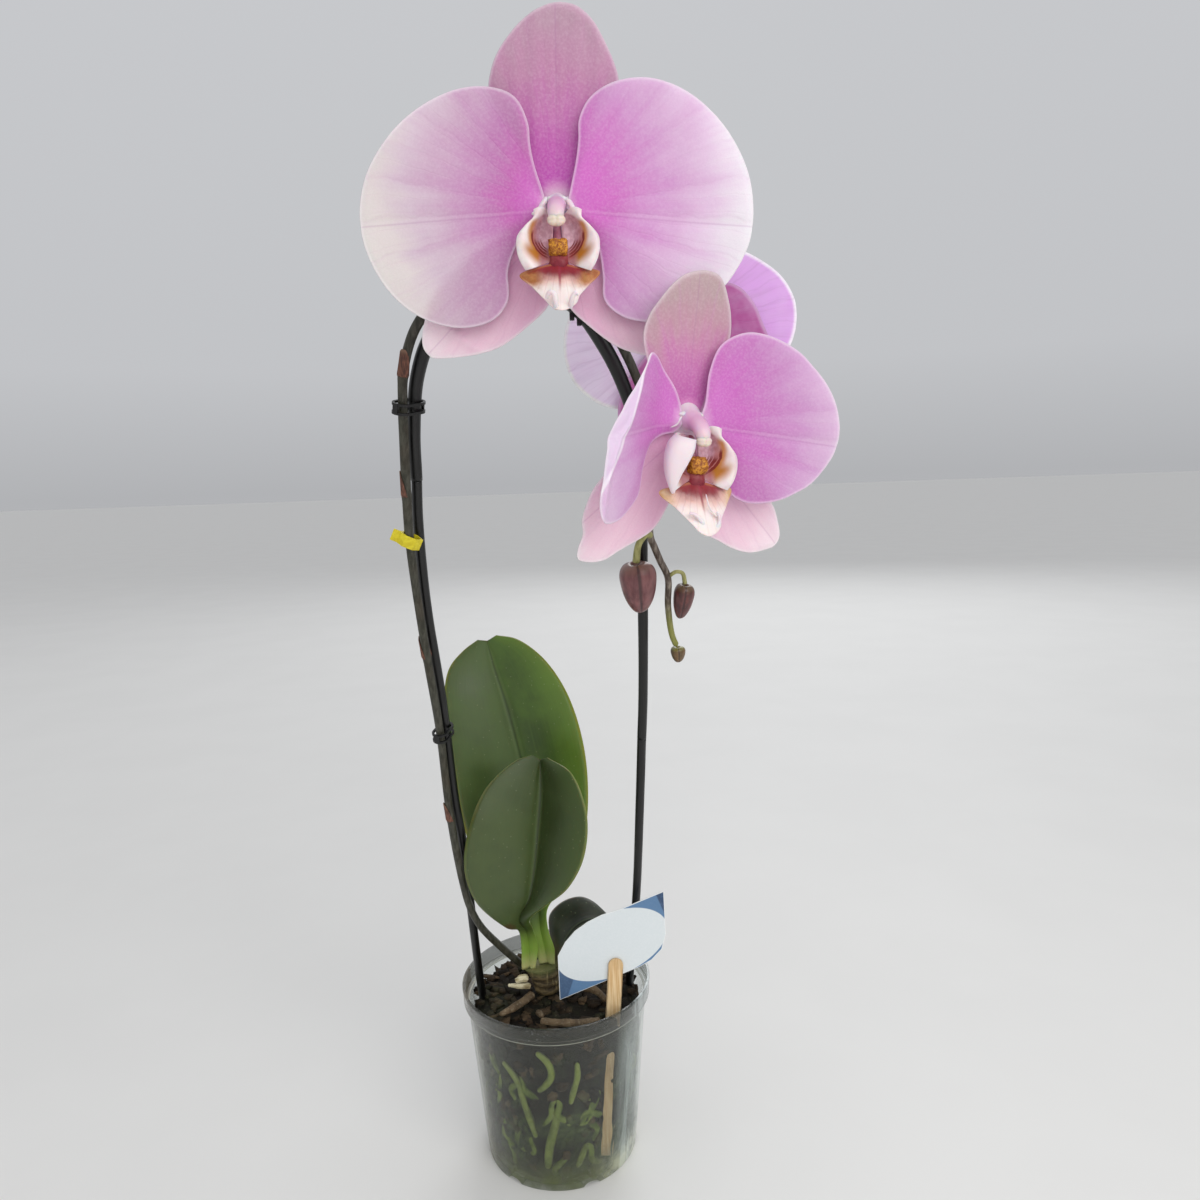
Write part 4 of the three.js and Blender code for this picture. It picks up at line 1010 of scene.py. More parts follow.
def dorsal_height(x, y, edge):
    z = -2.6 - 1.4 * np.sin(math.pi * y / 68) - 0.002 * x * x
    z = z - 0.35 * np.exp(-((x / 1.6) ** 2)) * smooth(6, 20, y)
    z = z + 0.12 * np.cos(x * 0.85) * smooth(10, 30, y)
    return z + (1 - smooth(0, 6, edge)) * 0.4 * np.sin(y / 5 + x / 7)


def lateral_height(fold=None):
    def height(x, y, edge):
        z = -2.6 - 0.0007 * (x * x + y * y) - 0.8 * np.sin(np.abs(x) / 16)
        along = np.abs(x) * 0.72 - y * 0.69
        off = np.abs(x) * 0.69 + y * 0.72 + 1.5
        z = z - 0.6 * np.exp(-((off / 2.2) ** 2)) * smooth(10, 24, along)
        z = z + (1 - smooth(0, 6, edge)) * 0.35 * np.sin(along / 4.5)
        if fold is not None:
            z = z + fold(x, y)
        return z
    return height


CURL_LINE = [[-23.9, 26.4], [-30.0, 17.5], [-34.4, 10.3], [-39.4, 2.7], [-46.6, -6], [-50.4, -16],
             [-52.2, -25], [-52.5, -34]]


def second_curl(x, y):
    """The margin of the second flower's left petal, beyond this line, rolls back."""
    line = even(spline(CURL_LINE), 60)
    at = np.interp(y, line[::-1, 1], line[::-1, 0])
    beyond = np.clip(at - x, 0, 12) * smooth(26.4, 21, y)
    ripple = 0.5 * np.sin(y / 2.1) * smooth(1, 5, beyond) * smooth(-12, -4, y)
    return -0.3 * beyond + ripple + 0.9 * np.exp(-(((x - at) / 1.6) ** 2)) * smooth(26, 18, y)


def first_fold(x, y):
    """A soft fold across the foot of the first flower's left side sepal."""
    off = (x + 36.5) * 0.55 + (y + 45.5) * 0.83
    return 0.8 * np.exp(-((off / 1.6) ** 2)) * smooth(-18, -34, x) - 0.5 * smooth(0, -6, off)


OPEN_LOBE = [
    [(-1.5, -3.6, 3), (-3.6, -1, 5.4), (-5, -0.2, 7.4), (-6.8, -0.3, 8.2), (-8.6, -1, 8)],
    [(-1.6, -5.2, 3.2), (-4.6, -3.8, 4.6), (-6.2, -3.2, 7.2), (-7.7, -3.2, 8.6), (-8.8, -3.9, 8.4)],
    [(-1.6, -7, 3.8), (-5.9, -6.2, 4.2), (-8.2, -6, 7.4), (-10.6, -6.4, 9.6), (-12.3, -7.2, 9.4)],
    [(-1.7, -9.4, 4.6), (-6.5, -9, 4.2), (-9.2, -9, 7.6), (-12.4, -9.4, 10.4), (-14.6, -10.2, 10)],
    [(-1.7, -12, 5.6), (-6.4, -12, 4.6), (-9.3, -12.2, 8), (-12.8, -12.8, 11), (-15, -13.4, 10.6)],
    [(-1.6, -14.6, 6.6), (-5.8, -14.9, 5.8), (-8.7, -15.6, 8.8), (-12.2, -16.4, 11.4), (-14.5, -17, 11)],
    [(-1.5, -16.8, 7.6), (-4.8, -17.3, 7.2), (-7.7, -18.2, 9.6), (-10.9, -19.3, 11.6), (-13.2, -20, 11.2)],
    [(-1.3, -18.6, 8.6), (-3.6, -19.2, 8.4), (-6.4, -20.3, 10), (-9.4, -21.5, 11.6), (-11.8, -22.1, 11)],
]
UPRIGHT_LOBE = [
    [(-1.5, -4.2, 2.5), (-5, -3.4, 4.5), (-8.5, -3, 7.5), (-8.5, -3.6, 11), (-3.5, -4.6, 13)],
    [(-1.6, -7, 4), (-6.5, -6.2, 4.8), (-11.5, -6, 8), (-11.5, -7, 12), (-4.5, -8.2, 14.4)],
    [(-1.7, -10.5, 5.4), (-7, -10.4, 5.6), (-13, -10.8, 9), (-12.8, -12, 12.8), (-6.8, -12.6, 15)],
    [(-1.7, -13.8, 6.6), (-6.5, -14.4, 6.8), (-12.8, -16, 10), (-12.8, -17, 13.4), (-9, -16.8, 15)],
    [(-1.6, -16.4, 7.8), (-5.5, -17.6, 8.4), (-11.5, -20, 11.2), (-12, -20.8, 13.4), (-10, -20.4, 14.6)],
    [(-1.3, -18.4, 8.6), (-4.5, -20, 9.8), (-9.6, -22.6, 12), (-11, -23.2, 13.2), (-10.4, -23, 13.9)],
]


def side_lobe(side, stations=OPEN_LOBE):
    """One side lobe of the lip: a cupped sheet from the neck out to a curled rim."""
    across = np.stack([spline(row, per=7) for row in stations])
    grid = np.stack([spline(line, per=8) for line in across.swapaxes(0, 1)], axis=1)
    grid[..., 0] *= -side
    rows, cols, _ = grid.shape
    normal = unit(np.cross(np.gradient(grid, axis=1), np.gradient(grid, axis=0))) * side
    normal *= -1 if normal[rows // 2, cols // 2] @ np.array([-0.5 * side, 0, 1]) < 0 else 1
    u = np.linspace(0, 1, cols)[None, :].repeat(rows, 0)
    v = np.linspace(0, 1, rows)[:, None].repeat(cols, 1)
    from_edge = np.minimum(np.minimum(1 - u, 0.6), np.minimum(v, 1 - v) * 1.5)
    thick = (0.32 * (0.3 + 0.7 * smooth(0, 0.12, from_edge)))[..., None]
    n = rows * cols
    verts = np.vstack([(grid + normal * thick).reshape(-1, 3), (grid - normal * thick).reshape(-1, 3)])
    faces = []
    for i in range(rows - 1):
        for j in range(cols - 1):
            a = i * cols + j
            f = (a, a + 1, a + cols + 1, a + cols)
            faces += [f, tuple(q + n for q in f[::-1])]
    border = [i * cols for i in range(rows)] + [(rows - 1) * cols + j for j in range(1, cols)]
    border += [i * cols + cols - 1 for i in range(rows - 2, -1, -1)] + list(range(cols - 2, 0, -1))
    for a, b in zip(border, border[1:] + border[:1]):
        faces.append((a, b, b + n, a + n))
    fields = {"spot": verts.copy(), "front": np.concatenate([np.ones(n), np.zeros(n)])[:, None]}
    return {"verts": verts, "faces": faces, "fields": fields}


def blob(centre, size, detail=4, bumps=None, share=0.0):
    """Rounded lump: a fine ball stretched to size, with its surface pushed in and out."""
    work = bmesh.new()
    bmesh.ops.create_icosphere(work, subdivisions=detail, radius=1)
    ball = np.array([v.co for v in work.verts])
    faces = [tuple(v.index for v in f.verts) for f in work.faces]
    work.free()
    push = bumps(ball) if bumps else np.ones(len(ball))
    verts = ball * push[:, None] * np.array(size) + np.array(centre)
    return {"verts": verts, "faces": faces, "fields": {"share": np.full((len(verts), 1), share)}}


def midlobe_height(x, y, edge):
    z = 9.5 + 0.72 * (-y - 20) - 0.012 * x * x
    z = z + 0.55 * np.exp(-((x / 1.1) ** 2)) - 0.25 * np.cos(x * 1.5) * smooth(0, 3, edge)
    return z - 0.8 * smooth(9, 15, np.abs(x))


def lip(size, left_lobe, curls, skew):
    """Lip with its neck, two side lobes, callus, middle lobe and two hooked tips."""
    neck = tube([[0, -4.1, 1], [0, -8, 2.4], [0, -13, 4.6]], [1.4, 1.6, 2.2], 20, 0.5)
    claw = tube([[0.2, -13.5, 4.6], [0.3, -17.5, 6.6], [0.4, -22.5, 9.4]], [3.0, 3.7, 3.9], 24, 0.5,
                swell=lambda mm, a: 1 - 0.2 * np.sin(a) ** 2 + 0.04 * np.sin(3 * a + mm))
    middle = tepal(MIDLOBE, [0.5, -26], midlobe_height, 0.55, 120, 16)
    lobes = [side_lobe(-1, left_lobe), side_lobe(1)]

    def warts(ball):
        square = 1 / np.maximum(np.max(np.abs(ball[:, :2]), axis=1), 0.76)
        split = 1 - 0.14 * np.exp(-((ball[:, 0] / 0.16) ** 2)) * (ball[:, 2] > 0) * (ball[:, 1] > 0)
        return square * split * np.array([1 + 0.16 * noise.noise(Vector(q * 4.3)) for q in ball])
    callus = blob((0.1, -13.9, 8.4), (3.3, 2.9, 2.6), 4, warts)
    pivot = np.array([0, -4.3, 1])
    shapes = [neck, claw, middle, *lobes, callus]
    for shape in shapes:
        shape["verts"] = (shape["verts"] - pivot) * size + pivot
    shapes += [tube(row, radii, 16, 0.35) for row, radii in curls]
    whole = joined(shapes, [3, 4, 1, 0, 0, 2] + [5] * len(curls))
    whole["verts"] = whole["verts"] + whole["verts"][:, 2:] * np.array([skew, 0, 0])
    return whole


FIRST_CURLS = [
    ([[-1.2, -36.2, 19.6], [-1.4, -33.6, 21.4], [-1.9, -31.2, 22.2], [-3.1, -30.4, 22.4],
      [-4.1, -31.2, 22.0], [-4.4, -32.6, 21.2]], [0.8, 0.95, 0.95, 0.9, 0.8, 0.5]),
    ([[3.9, -35.8, 19.6], [4.3, -33.2, 21.4], [5.0, -31.2, 22.2], [5.9, -30.6, 22.4], [6.6, -31.6, 22.0]],
     [0.8, 0.9, 0.85, 0.8, 0.5]),
]
SECOND_CURLS = [
    ([[1.5, -38.6, 20.0], [3.9, -37.6, 20.4], [6.0, -35.6, 20.4], [6.0, -32.6, 20.2], [4.8, -30.8, 20.0]],
     [0.75, 0.85, 0.85, 0.75, 0.55]),
    ([[5.2, -32.8, 20.0], [3.2, -31.0, 19.6], [1.5, -28.6, 19.2], [0.2, -24.4, 18.4]],
     [0.4, 0.35, 0.3, 0.2]),
    ([[1.6, -40.6, 19.4], [0.0, -37.2, 20.2], [-2.0, -34.2, 20.6], [-4.6, -32.0, 20.6],
      [-7.0, -31.4, 20.0]], [0.9, 0.9, 0.9, 0.8, 0.5]),
]


def column(wide=1.0):
    """Column: a broad foot, a tapering hood and a cream cap at its end, with a collar above."""
    def hood(mm, angle):
        return 1 + 0.1 * np.cos(2 * angle) * smooth(6, 14, mm)
    path = [[0, 2.4, -7], [0, 2, -2], [0, 1.3, 3], [0, 0, 8], [0.1, -2.6, 11.2], [0.2, -5.2, 12]]
    radii = np.array([4.6, 4.4, 3.5, 3.0, 2.8, 2.8, 2.4]) * np.linspace(wide, 1, 7)
    body = tube(path, radii, 32, 0.5, 0.5, hood)

    def cap(ball):
        split = 1 - 0.2 * np.exp(-((ball[:, 0] / 0.16) ** 2)) * (ball[:, 2] > -0.3)
        return split * (1 - 0.1 * np.exp(-(((ball[:, 1] + 0.1) / 0.15) ** 2)) * (ball[:, 2] > 0))
    tip = blob((0.3, -5.3, 12.6), (3.3, 2.2, 1.9), 4, cap, share=1.0)
    collar = blob((0, 3.7, 0.6), (3.9 * wide, 1.4, 1.9), share=0.03)
    foot = blob((0, -0.5, -4.4), (9.5, 8.5, 3.0), share=0.3)
    claws = []
    for side in (-1, 1):
        path = [[side * 3.4, 4.4, 0], [side * 4.8, 2.2, 1], [side * 6.6, -0.4, 1.2],
                [side * 9.4, -1.6, 0.8]]
        claw = tube(path, np.array([0.9, 1.1, 1.1, 0.5]) * (2.2 - 1.2 * wide), 18, 0.4)
        claw["fields"]["share"][:] = 0.12
        claws.append(claw)
    return joined([body, tip, collar, foot, *claws])


def placed(shape, matrix):
    """The same shape with its points moved by a matrix."""
    verts = np.column_stack([shape["verts"], np.ones(len(shape["verts"]))])
    return {**shape, "verts": (verts @ np.array(matrix).T)[:, :3]}


# Each flower has its outlines and paints in the order dorsal sepal, left and right petal, side sepals.
FLOWERS = [
    dict(name="flower_1", centre=[12.2, -190.7, 528.5], yaw=-4.3, nod=6.5, roll=-1.9, size=1.024,
         outlines=[DORSAL_SEPAL, LEFT_PETAL, RIGHT_PETAL, LATERAL_SEPAL, mirrored(LATERAL_SEPAL)],
         paints=(sepal_first, petal_first_left, petal_first_right, sepal_side), fold=first_fold,
         lip=(1.0, OPEN_LOBE, FIRST_CURLS, 0.07),
         stalk=[[6.3, -138, 520.3], [7.5, -149, 527], [10, -170, 531]]),
    dict(name="flower_2", centre=[60.2, -195.5, 447.8], yaw=17, nod=9.7, roll=-2.6, size=0.986,
         outlines=[SECOND_DORSAL, SECOND_LEFT_PETAL, SECOND_RIGHT_PETAL, SECOND_LEFT_LATERAL,
                   SECOND_RIGHT_LATERAL],
         paints=(sepal_dusky, petal_rolled, petal_second, sepal_side), bends=(38, 15), curl=second_curl,
         lip=(1.1, UPRIGHT_LOBE, SECOND_CURLS, 0.0), wide=1.45,
         stalk=[[54.6, -120.6, 456.6], [55.5, -135, 461], [56.5, -160, 460]]),
    dict(name="flower_3", centre=[75.5, -80, 503.1], yaw=176.2, nod=7.5, roll=-16, size=0.84,
         outlines=[DORSAL_SEPAL, LEFT_PETAL, RIGHT_PETAL, THIRD_LEFT_LATERAL, mirrored(LATERAL_SEPAL)],
         paints=(sepal_back_shaded, petal_third_left, petal_third_right, sepal_back_shaded),
         lip=(1.0, OPEN_LOBE, FIRST_CURLS, 0.0),
         stalk=[[40, -126.6, 495], [49, -120, 506], [64, -107, 511], [73, -95, 508]]),
]

lip_materials = [lobe_paint(), midlobe_paint("lip_middle_lobe", 3.5, 9.0, "9a5a26", "b07a44"),
                 callus_paint(), pale_paint("lip_neck", "9c5a70", "b98598"), claw_paint(),
                 pale_paint("lip_hooks", "e9e0e2", "e2d2d9")]
column_material = column_paint()
pale_lip_materials = list(lip_materials)
pale_lip_materials[1] = midlobe_paint("lip_middle_lobe_pale", 7.5, 13.5, "c9a878", "dcc49c")
stalk_material = stem_paint("flower_stalk", "6d6f48", "8b8a5e", red=0.75)
stem_material = stem_paint("stem_skin", "28281d", "45443a", green=0.9)


def build_flower(f):
    """The eight pieces of a flower: sepals, petals, column and lip in its own frame, and its stalk."""
    turn = Matrix.Identity(4)
    for angle, axis in ((f["yaw"], "Y"), (f["nod"], "X"), (f["roll"], "Z")):
        turn = turn @ Matrix.Rotation(math.radians(angle), 4, axis)
    basis = Matrix(((1, 0, 0, 0), (0, 0, -1, 0), (0, 1, 0, 0), (0, 0, 0, 1)))
    place = Matrix.Translation(f["centre"]) @ basis @ turn @ Matrix.Scale(f["size"], 4)
    dorsal, left, right, low_left, low_right = f["outlines"]
    sepal, left_paint, right_paint, lateral = f["paints"]
    bends = f.get("bends", (0, 0))

    def put(part, shape, material):
        piece(f"{f['name']}_{part}", placed(shape, place), material)

    put("dorsal_sepal", tepal(dorsal, [0, 34], dorsal_height), sepal)
    for part, outline, fold in (("left", low_left, f.get("fold")), ("right", low_right, None)):
        shape = tepal(outline, middle_of(outline), lateral_height(fold))
        put(f"{part}_lateral_sepal", shape, lateral)
    for part, outline, phase, hinge, degrees, curl, petal in (
        ("left", left, 1.0, -14, bends[0], f.get("curl"), left_paint),
        ("right", right, 2.6, 12, bends[1], None, right_paint),
    ):
        shape = tepal(outline, middle_of(outline), petal_height(phase), count=170, rings=28,
                      behind=[dorsal, low_left, low_right])
        if degrees:
            bend(shape, hinge, degrees)
        if curl:
            at = shape["fields"]["spot"]
            shape["verts"][:, 2] += curl(at[:, 0], at[:, 1])
        put(f"{part}_petal", shape, petal)
    put("column", column(f.get("wide", 1.0)), column_material)
    pale = f["lip"][1] is UPRIGHT_LOBE
    put("lip", lip(*f["lip"]), pale_lip_materials if pale else lip_materials)
    ends = [list(place @ Vector((0, 0, z))) for z in (-12, -7.5)]
    stalk = tube(f["stalk"] + ends, [1.75, 1.6, 1.6, 1.75], 18, 0.8, 0.3,
                 lambda mm, a: 1 + 0.05 * np.cos(3 * a) + 0.03 * np.sin(mm / 3.1))
    piece(f"{f['name']}_stalk", stalk, stalk_material)


for flower in FLOWERS:
    build_flower(flower)


# Stem, bracts, buds

STEM = [[-17, 6.6, 113], [-25, 1, 124], [-35, -10, 141], [-45, -24, 162], [-49.8, -31.3, 178]]
STEM += [hoop_point(x, z, 6) for x, z in [
    (-52.6, 197), (-56, 245), (-57, 300), (-60, 347), (-62, 399), (-61, 426), (-59.6, 449)]]
STEM += [hoop_point(*q) for q in [
    (-58.6, 464, 5.6), (-56.6, 480, 4.4), (-49, 498.2, 2.2), (-33.2, 512.4, 0.8), (-12.5, 519.3),
    (4.6, 518.8), (17, 514.5), (27.6, 507.3), (38.2, 493.3), (47.2, 476.8), (54, 456.6, 1.6),
    (56, 430, 4.6)]]
STEM += [[54.8, -106, 400], [57, -104.5, 394], [60, -102, 387], [64.2, -98.8, 378], [64.6, -94, 363.5],
         [67.1, -88.6, 347], [69.9, -86, 340.3]]
STEM_RADII = [2.3, 2.2, 2.15, 2.15, 2.2, 2.3, 2.2, 1.9, 1.5]
BRACTS = [(243, 200), (343, 150), (426, 160), (479, 200)]  # height, and the way it faces in degrees

stem_row = even(spline(STEM, per=24), 1600)
rising = stem_row[: int(np.argmax(stem_row[:, 2]))]
stem_run = run_along(stem_row)
joints = [int(np.argmax(rising[:, 2] >= height)) for height, _ in BRACTS]


def stem_swell(mm, angle):
    """The stem is a little uneven and has a ring just below each bract."""
    swell = 1 + 0.02 * np.sin(mm / 17) + 0.015 * np.cos(5 * angle + mm / 30)
    for i in joints:
        swell = swell + 0.1 * np.exp(-(((mm - stem_run[i] + 3.2) / 1.6) ** 2))
    return swell


def bract(i, facing):
    """A scale wrapped round part of the stem at its point i, narrowing upwards."""
    rows, cols = 26, 25
    along = unit(rising[i + 1] - rising[i - 1])
    side = unit(np.cross([0, 0, 1.0], along))
    other = np.cross(along, side)
    rings = []
    for s in np.linspace(0, 1, rows):
        opening = 118 * math.sqrt(max(1 - 0.97 * s, 0))
        r = STEM_RADIUS + 0.12 + 0.25 * s * s
        wall = (0.5 - 0.2 * s) * (0.5 + 0.5 * smooth(0, 0.08, s))
        angles = np.radians(facing + opening * np.linspace(-1, 1, cols))
        outer = r + wall + 0.06 * np.cos(9 * angles)
        reach = np.concatenate([outer, np.full(cols, r)])[:, None]
        angles = np.concatenate([angles, angles[::-1]])[:, None]
        flat = reach * (np.cos(angles) * side + np.sin(angles) * other)
        rings.append(rising[i] + flat + along * (12 * s - 3))
    share = np.linspace(0, 1, rows)[:, None].repeat(2 * cols, 1)
    return ringed(np.array(rings), {"share": share})


piece("flower_stem", tube(STEM, STEM_RADII, 20, 1.6, 0.6, stem_swell), stem_material)
bract_material = bract_paint()
for number, (joint, (_, facing)) in enumerate(zip(joints, BRACTS), 1):
    piece(f"bract_{number}", bract(joint, facing), bract_material)


def bud(top, tip, width):
    """Closed bud: folded scales that meet in three grooves, blunt at the foot, drawn to a point."""
    top, tip = np.array(top, float), np.array(tip, float)
    down = unit(tip - top)
    side = unit(np.cross(down, [0, 1.0, 0]))
    front = np.cross(side, down)
    profile = spline([[0.07, 0.02], [0.045, 0.14], [0.01, 0.3], [0, 0.42], [0.02, 0.62], [0.07, 0.82],
                      [0.15, 0.95], [0.25, 1], [0.4, 0.97], [0.55, 0.9], [0.7, 0.78], [0.83, 0.61],
                      [0.92, 0.44], [0.97, 0.28], [1, 0.05]], per=6)
    angles = circle(60)[:, None]
    rings, share, fold = [], [], []
    for t, k in profile:
        groove = -0.1 * np.exp(-((np.mod(angles + 0.5, 2 * math.pi / 3) - math.pi / 3) / 0.13) ** 2)
        r = width / 2 * k * (1 + 0.05 * np.cos(3 * angles) + groove * smooth(0.05, 0.3, t))
        rings.append(top + (tip - top) * t + r * (np.cos(angles) * side + np.sin(angles) * front))
        share.append(np.full(len(angles), t))
        fold.append(groove[:, 0] / -0.1)
    return ringed(np.array(rings), {"share": np.array(share), "fold": np.array(fold)})


for number, top, tip, width, paint in [
    (1, [47.2, -107.5, 386.6], [49.6, -101.5, 361.5], 18.4,
     ("large_bud_skin", "5c3034", "7f5050", "80604e")),
    (2, [73.1, -97.3, 373.8], [70.8, -91.5, 356], 10.6, ("middle_bud_skin", "43201f", "693836", "6a5a38")),
    (3, [70.2, -85.8, 340], [70.8, -84.2, 331.6], 7.8, ("small_bud_skin", "4c3a20", "6b5230", "8a8c48")),
]:
    piece(f"bud_{number}", bud(top, tip, width), bud_paint(*paint))
bud_stalk_material = stem_paint("bud_stalk", "7b7a44", "a3a067")
for number, points, radii in [
    (1, [[54.6, -108.6, 400.2], [52.2, -112.2, 401], [48.6, -111.4, 396.5], [47.3, -107.8, 387]],
     [1.7, 1.6, 1.9]),
    (2, [[64.4, -98.9, 378.2], [66, -99.6, 379.8], [68.5, -100.2, 381], [71.5, -99.4, 380],
         [73, -97.6, 374.2]], [1, 1, 1.2]),
]:
    piece(f"bud_stalk_{number}", tube(points, radii, 18, 0.5, 0.3), bud_stalk_material)


# Hoop and clips

LEFT_ROD = [[-42, 45], [-47.5, 100], [-51.2, 223], [-53.2, 251], [-54.9, 314], [-58, 370], [-57.8, 411],
            [-56.5, 430.7]]
RIGHT_ROD = [[53, 284.7], [52.4, 244], [50.7, 171], [48.4, 140], [46.1, 90], [41, 45]]
ARCH_RADII = [2.7, 3.1, 3.3, 3.3, 3.1, 2.9, 2.7, 2.5, 2.5]
ARCH = [[-56.5, 430.5], [-55.4, 453], [-51.5, 477], [-43.5, 494], [-30, 506], [-12, 512.5], [4, 512],
        [14, 508.5], [23, 502.3], [32.5, 489.5], [41, 474], [47.5, 455], [50.8, 420], [52.8, 359],
        [53.4, 308], [53, 284.6]]
hoop_material = black_paint("hoop_plastic", 0.38)


def seam(mm, angle):
    """A moulding line along both sides of a rod."""
    return 1 + 0.035 * np.exp(-((np.abs(np.sin(angle)) / 0.16) ** 2))


def tooth(x, z):
    """A short rounded tooth on the arch."""
    def squared(ball):
        return 1 / np.maximum(np.max(np.abs(ball), axis=1), 0.72)
    return blob(hoop_point(x, z), (1.1, 1.5, 2.5), 3, squared)


arch_shape = joined([tube([hoop_point(*q) for q in ARCH], ARCH_RADII, 28, 1.6, 0, seam),
                     tooth(19.2, 501.2), tooth(22.4, 499)])
piece("support_arch", arch_shape, hoop_material)
for name, rod in (("hoop_rod_left", LEFT_ROD), ("hoop_rod_right", RIGHT_ROD)):
    shape = tube([hoop_point(*q) for q in rod], [ROD_RADIUS] * 2, 24, 1.6, 0, seam)
    piece(name, shape, hoop_material)


def assign(node, material):
    """Gives its material to a CAD node that keeps its shape."""
    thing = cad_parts[node]
    if thing.material_slots:
        for s in thing.material_slots:
            s.material = material
    else:
        thing.data.materials.append(material)


clip_material = black_paint("clip_plastic", 0.45)
assign("stem_clip_upper", clip_material)
assign("stem_clip_lower", clip_material)
assign("grower_tag", tape_paint())


# Leaves

def blade(left, middle, right, thickness, wave):
    """Leaf from its left edge, midrib and right edge; its foot is a thick channel."""
    a, m, b = (spline(row, per=9) for row in (left, middle, right))
    count = len(m)
    share = np.linspace(0, 1, count)
    along = unit(np.gradient(m, axis=0))
    thick = np.interp(share, np.linspace(0, 1, len(thickness)), thickness)
    ks = np.linspace(-1, 1, 33)
    upper, lower = [], []
    for k in ks:
        s = abs(k)
        w = float(smooth(-0.22, 0.22, k))
        across = (m - a) * (1 - w) + (b - m) * w
        normal = unit(np.cross(across, along))
        edge = a if k < 0 else b
        size = np.linalg.norm(m - a if k < 0 else b - m, axis=1)
        p = m + (edge - m) * s + normal * (0.2 * size * s * (1 - s))[:, None]
        ripple = wave * np.sin(share * 21 + 2 * k) * s * s
        p = p + normal * (ripple + 0.06 * np.cos(k * 60))[:, None]
        groove = 0.45 * math.exp(-((k / 0.06) ** 2))
        half = 0.5 * thick * (1 - 0.55 * s * s) * math.sqrt(max(1 - s**10, 0))
        upper.append(p + normal * (half - groove)[:, None])
        lower.append(p - normal * (half + 0.5 * groove)[:, None])
    rings = np.stack(upper + lower[-2:0:-1], axis=1)
    across = np.concatenate([ks, ks[-2:0:-1]])[None].repeat(count, 0)
    front = np.concatenate([np.ones(len(ks)), np.zeros(len(ks) - 2)])[None].repeat(count, 0)
    share = share[:, None].repeat(rings.shape[1], 1)
    return ringed(rings, {"across": across, "front": front, "share": share})


back_paint = leaf_paint("leaf_back_skin", "394d1e", "4b6526", "7f9434", "83a040", side_light=0.6)
front_paint = leaf_paint("leaf_front_skin", "2f3b19", "424f28", "75854a", "7f9e3e", side_light=0.4,
                         tatter=0.9, right=0.55)
old_paint = leaf_paint("leaf_old_skin", "20261a", "363c2a", "737660", "5c5638", gloss=0.34)
piece("leaf_back", blade(
    [[-10.4, -0.5, 121.4], [-13, 0, 133], [-15.2, 0.8, 145], [-16.5, 1, 157], [-23, 2, 171], [-45, 1, 190],
     [-54, 0, 216], [-58.5, 1, 253], [-62.5, 8, 296], [-59, 14, 314], [-50, 19, 324], [-41, 22, 330]],
    [[-5.2, 3.1, 121.4], [-6.8, 3.2, 133], [-9, 4, 146], [-8.6, 6.4, 159], [-6, 9, 170], [-7.5, 11, 192],
     [-12, 13, 222], [-17, 16, 254], [-25, 19, 290], [-31, 21, 311], [-33.6, 22, 322], [-34.8, 22.4, 327]],
    [[-0.6, -2, 121.4], [-0.6, -1.6, 131], [-4, -0.5, 144], [-3.6, 0, 158], [8, 2, 172], [19.6, 1, 197],
     [24.6, 0, 229], [23, 2, 264], [14, 8, 296], [0, 14, 318], [-16, 19, 330], [-29, 22, 332.5]],
    [3.6, 3.4, 3.2, 2.8, 2.4, 2.2, 2, 2, 1.9, 1.7, 1.4], wave=0.3), back_paint)
piece("leaf_front", blade(
    [[-21.6, -6, 121.4], [-21.4, -7, 136], [-22.5, -11, 150], [-29, -26, 160], [-45, -38, 183],
     [-50.5, -44, 205], [-47.5, -46, 229], [-37, -38, 252], [-19, -31, 266], [-9, -29, 268.5]],
    [[-16.7, -1, 121.4], [-16.7, -2, 136], [-18, -7, 150], [-21, -20, 163], [-14, -27.5, 180],
     [-10, -29.5, 200], [-7, -30, 224], [-4.5, -29, 245], [-4, -28, 258], [-4, -28, 263.5]],
    [[-13.2, -6, 121.4], [-10.8, -7, 136], [-13.2, -12, 151], [-14, -31, 168], [-3, -43, 182],
     [9.5, -54, 197], [18.3, -60, 217], [20.6, -60, 243], [14, -52, 263], [0, -34, 268]],
    [3.6, 3.4, 3.2, 2.8, 2.4, 2.2, 2, 2, 1.9, 1.5], wave=0.25), front_paint)
piece("leaf_old", blade(
    [[-0.5, 7.5, 114], [-3, 14, 131], [-3, 19, 144], [6, 23, 151], [18, 25, 153], [28, 24, 148],
     [36, 22, 138]],
    [[1.6, 4, 114], [4, 7, 124], [9, 10, 133], [17, 12, 140], [27, 13, 142], [37, 13, 138], [44, 13, 130]],
    [[3.2, -0.5, 114], [8, 1, 120], [15, -1, 126], [24, -3, 129], [34, -3, 129], [42, -1, 126],
     [46, 5, 124]],
    [3, 2.6, 2.2, 2, 1.8, 1.6, 1.2], wave=0.25), old_paint)


# Crown, stubs and roots

def inner_radius(z):
    """Radius of the pot's inside at a height."""
    return 46.8 + 8.8 * z / 103


def rough(shape, amount, scale, seed):
    """Pushes points in and out along a smooth noise."""
    centre = np.array([seed * 7.3, seed * 3.1, 0])
    shift = np.array([list(noise.noise_vector(Vector((q + centre) * scale))) for q in shape["verts"]])
    shape["verts"] = shape["verts"] + amount * shift
    return shape


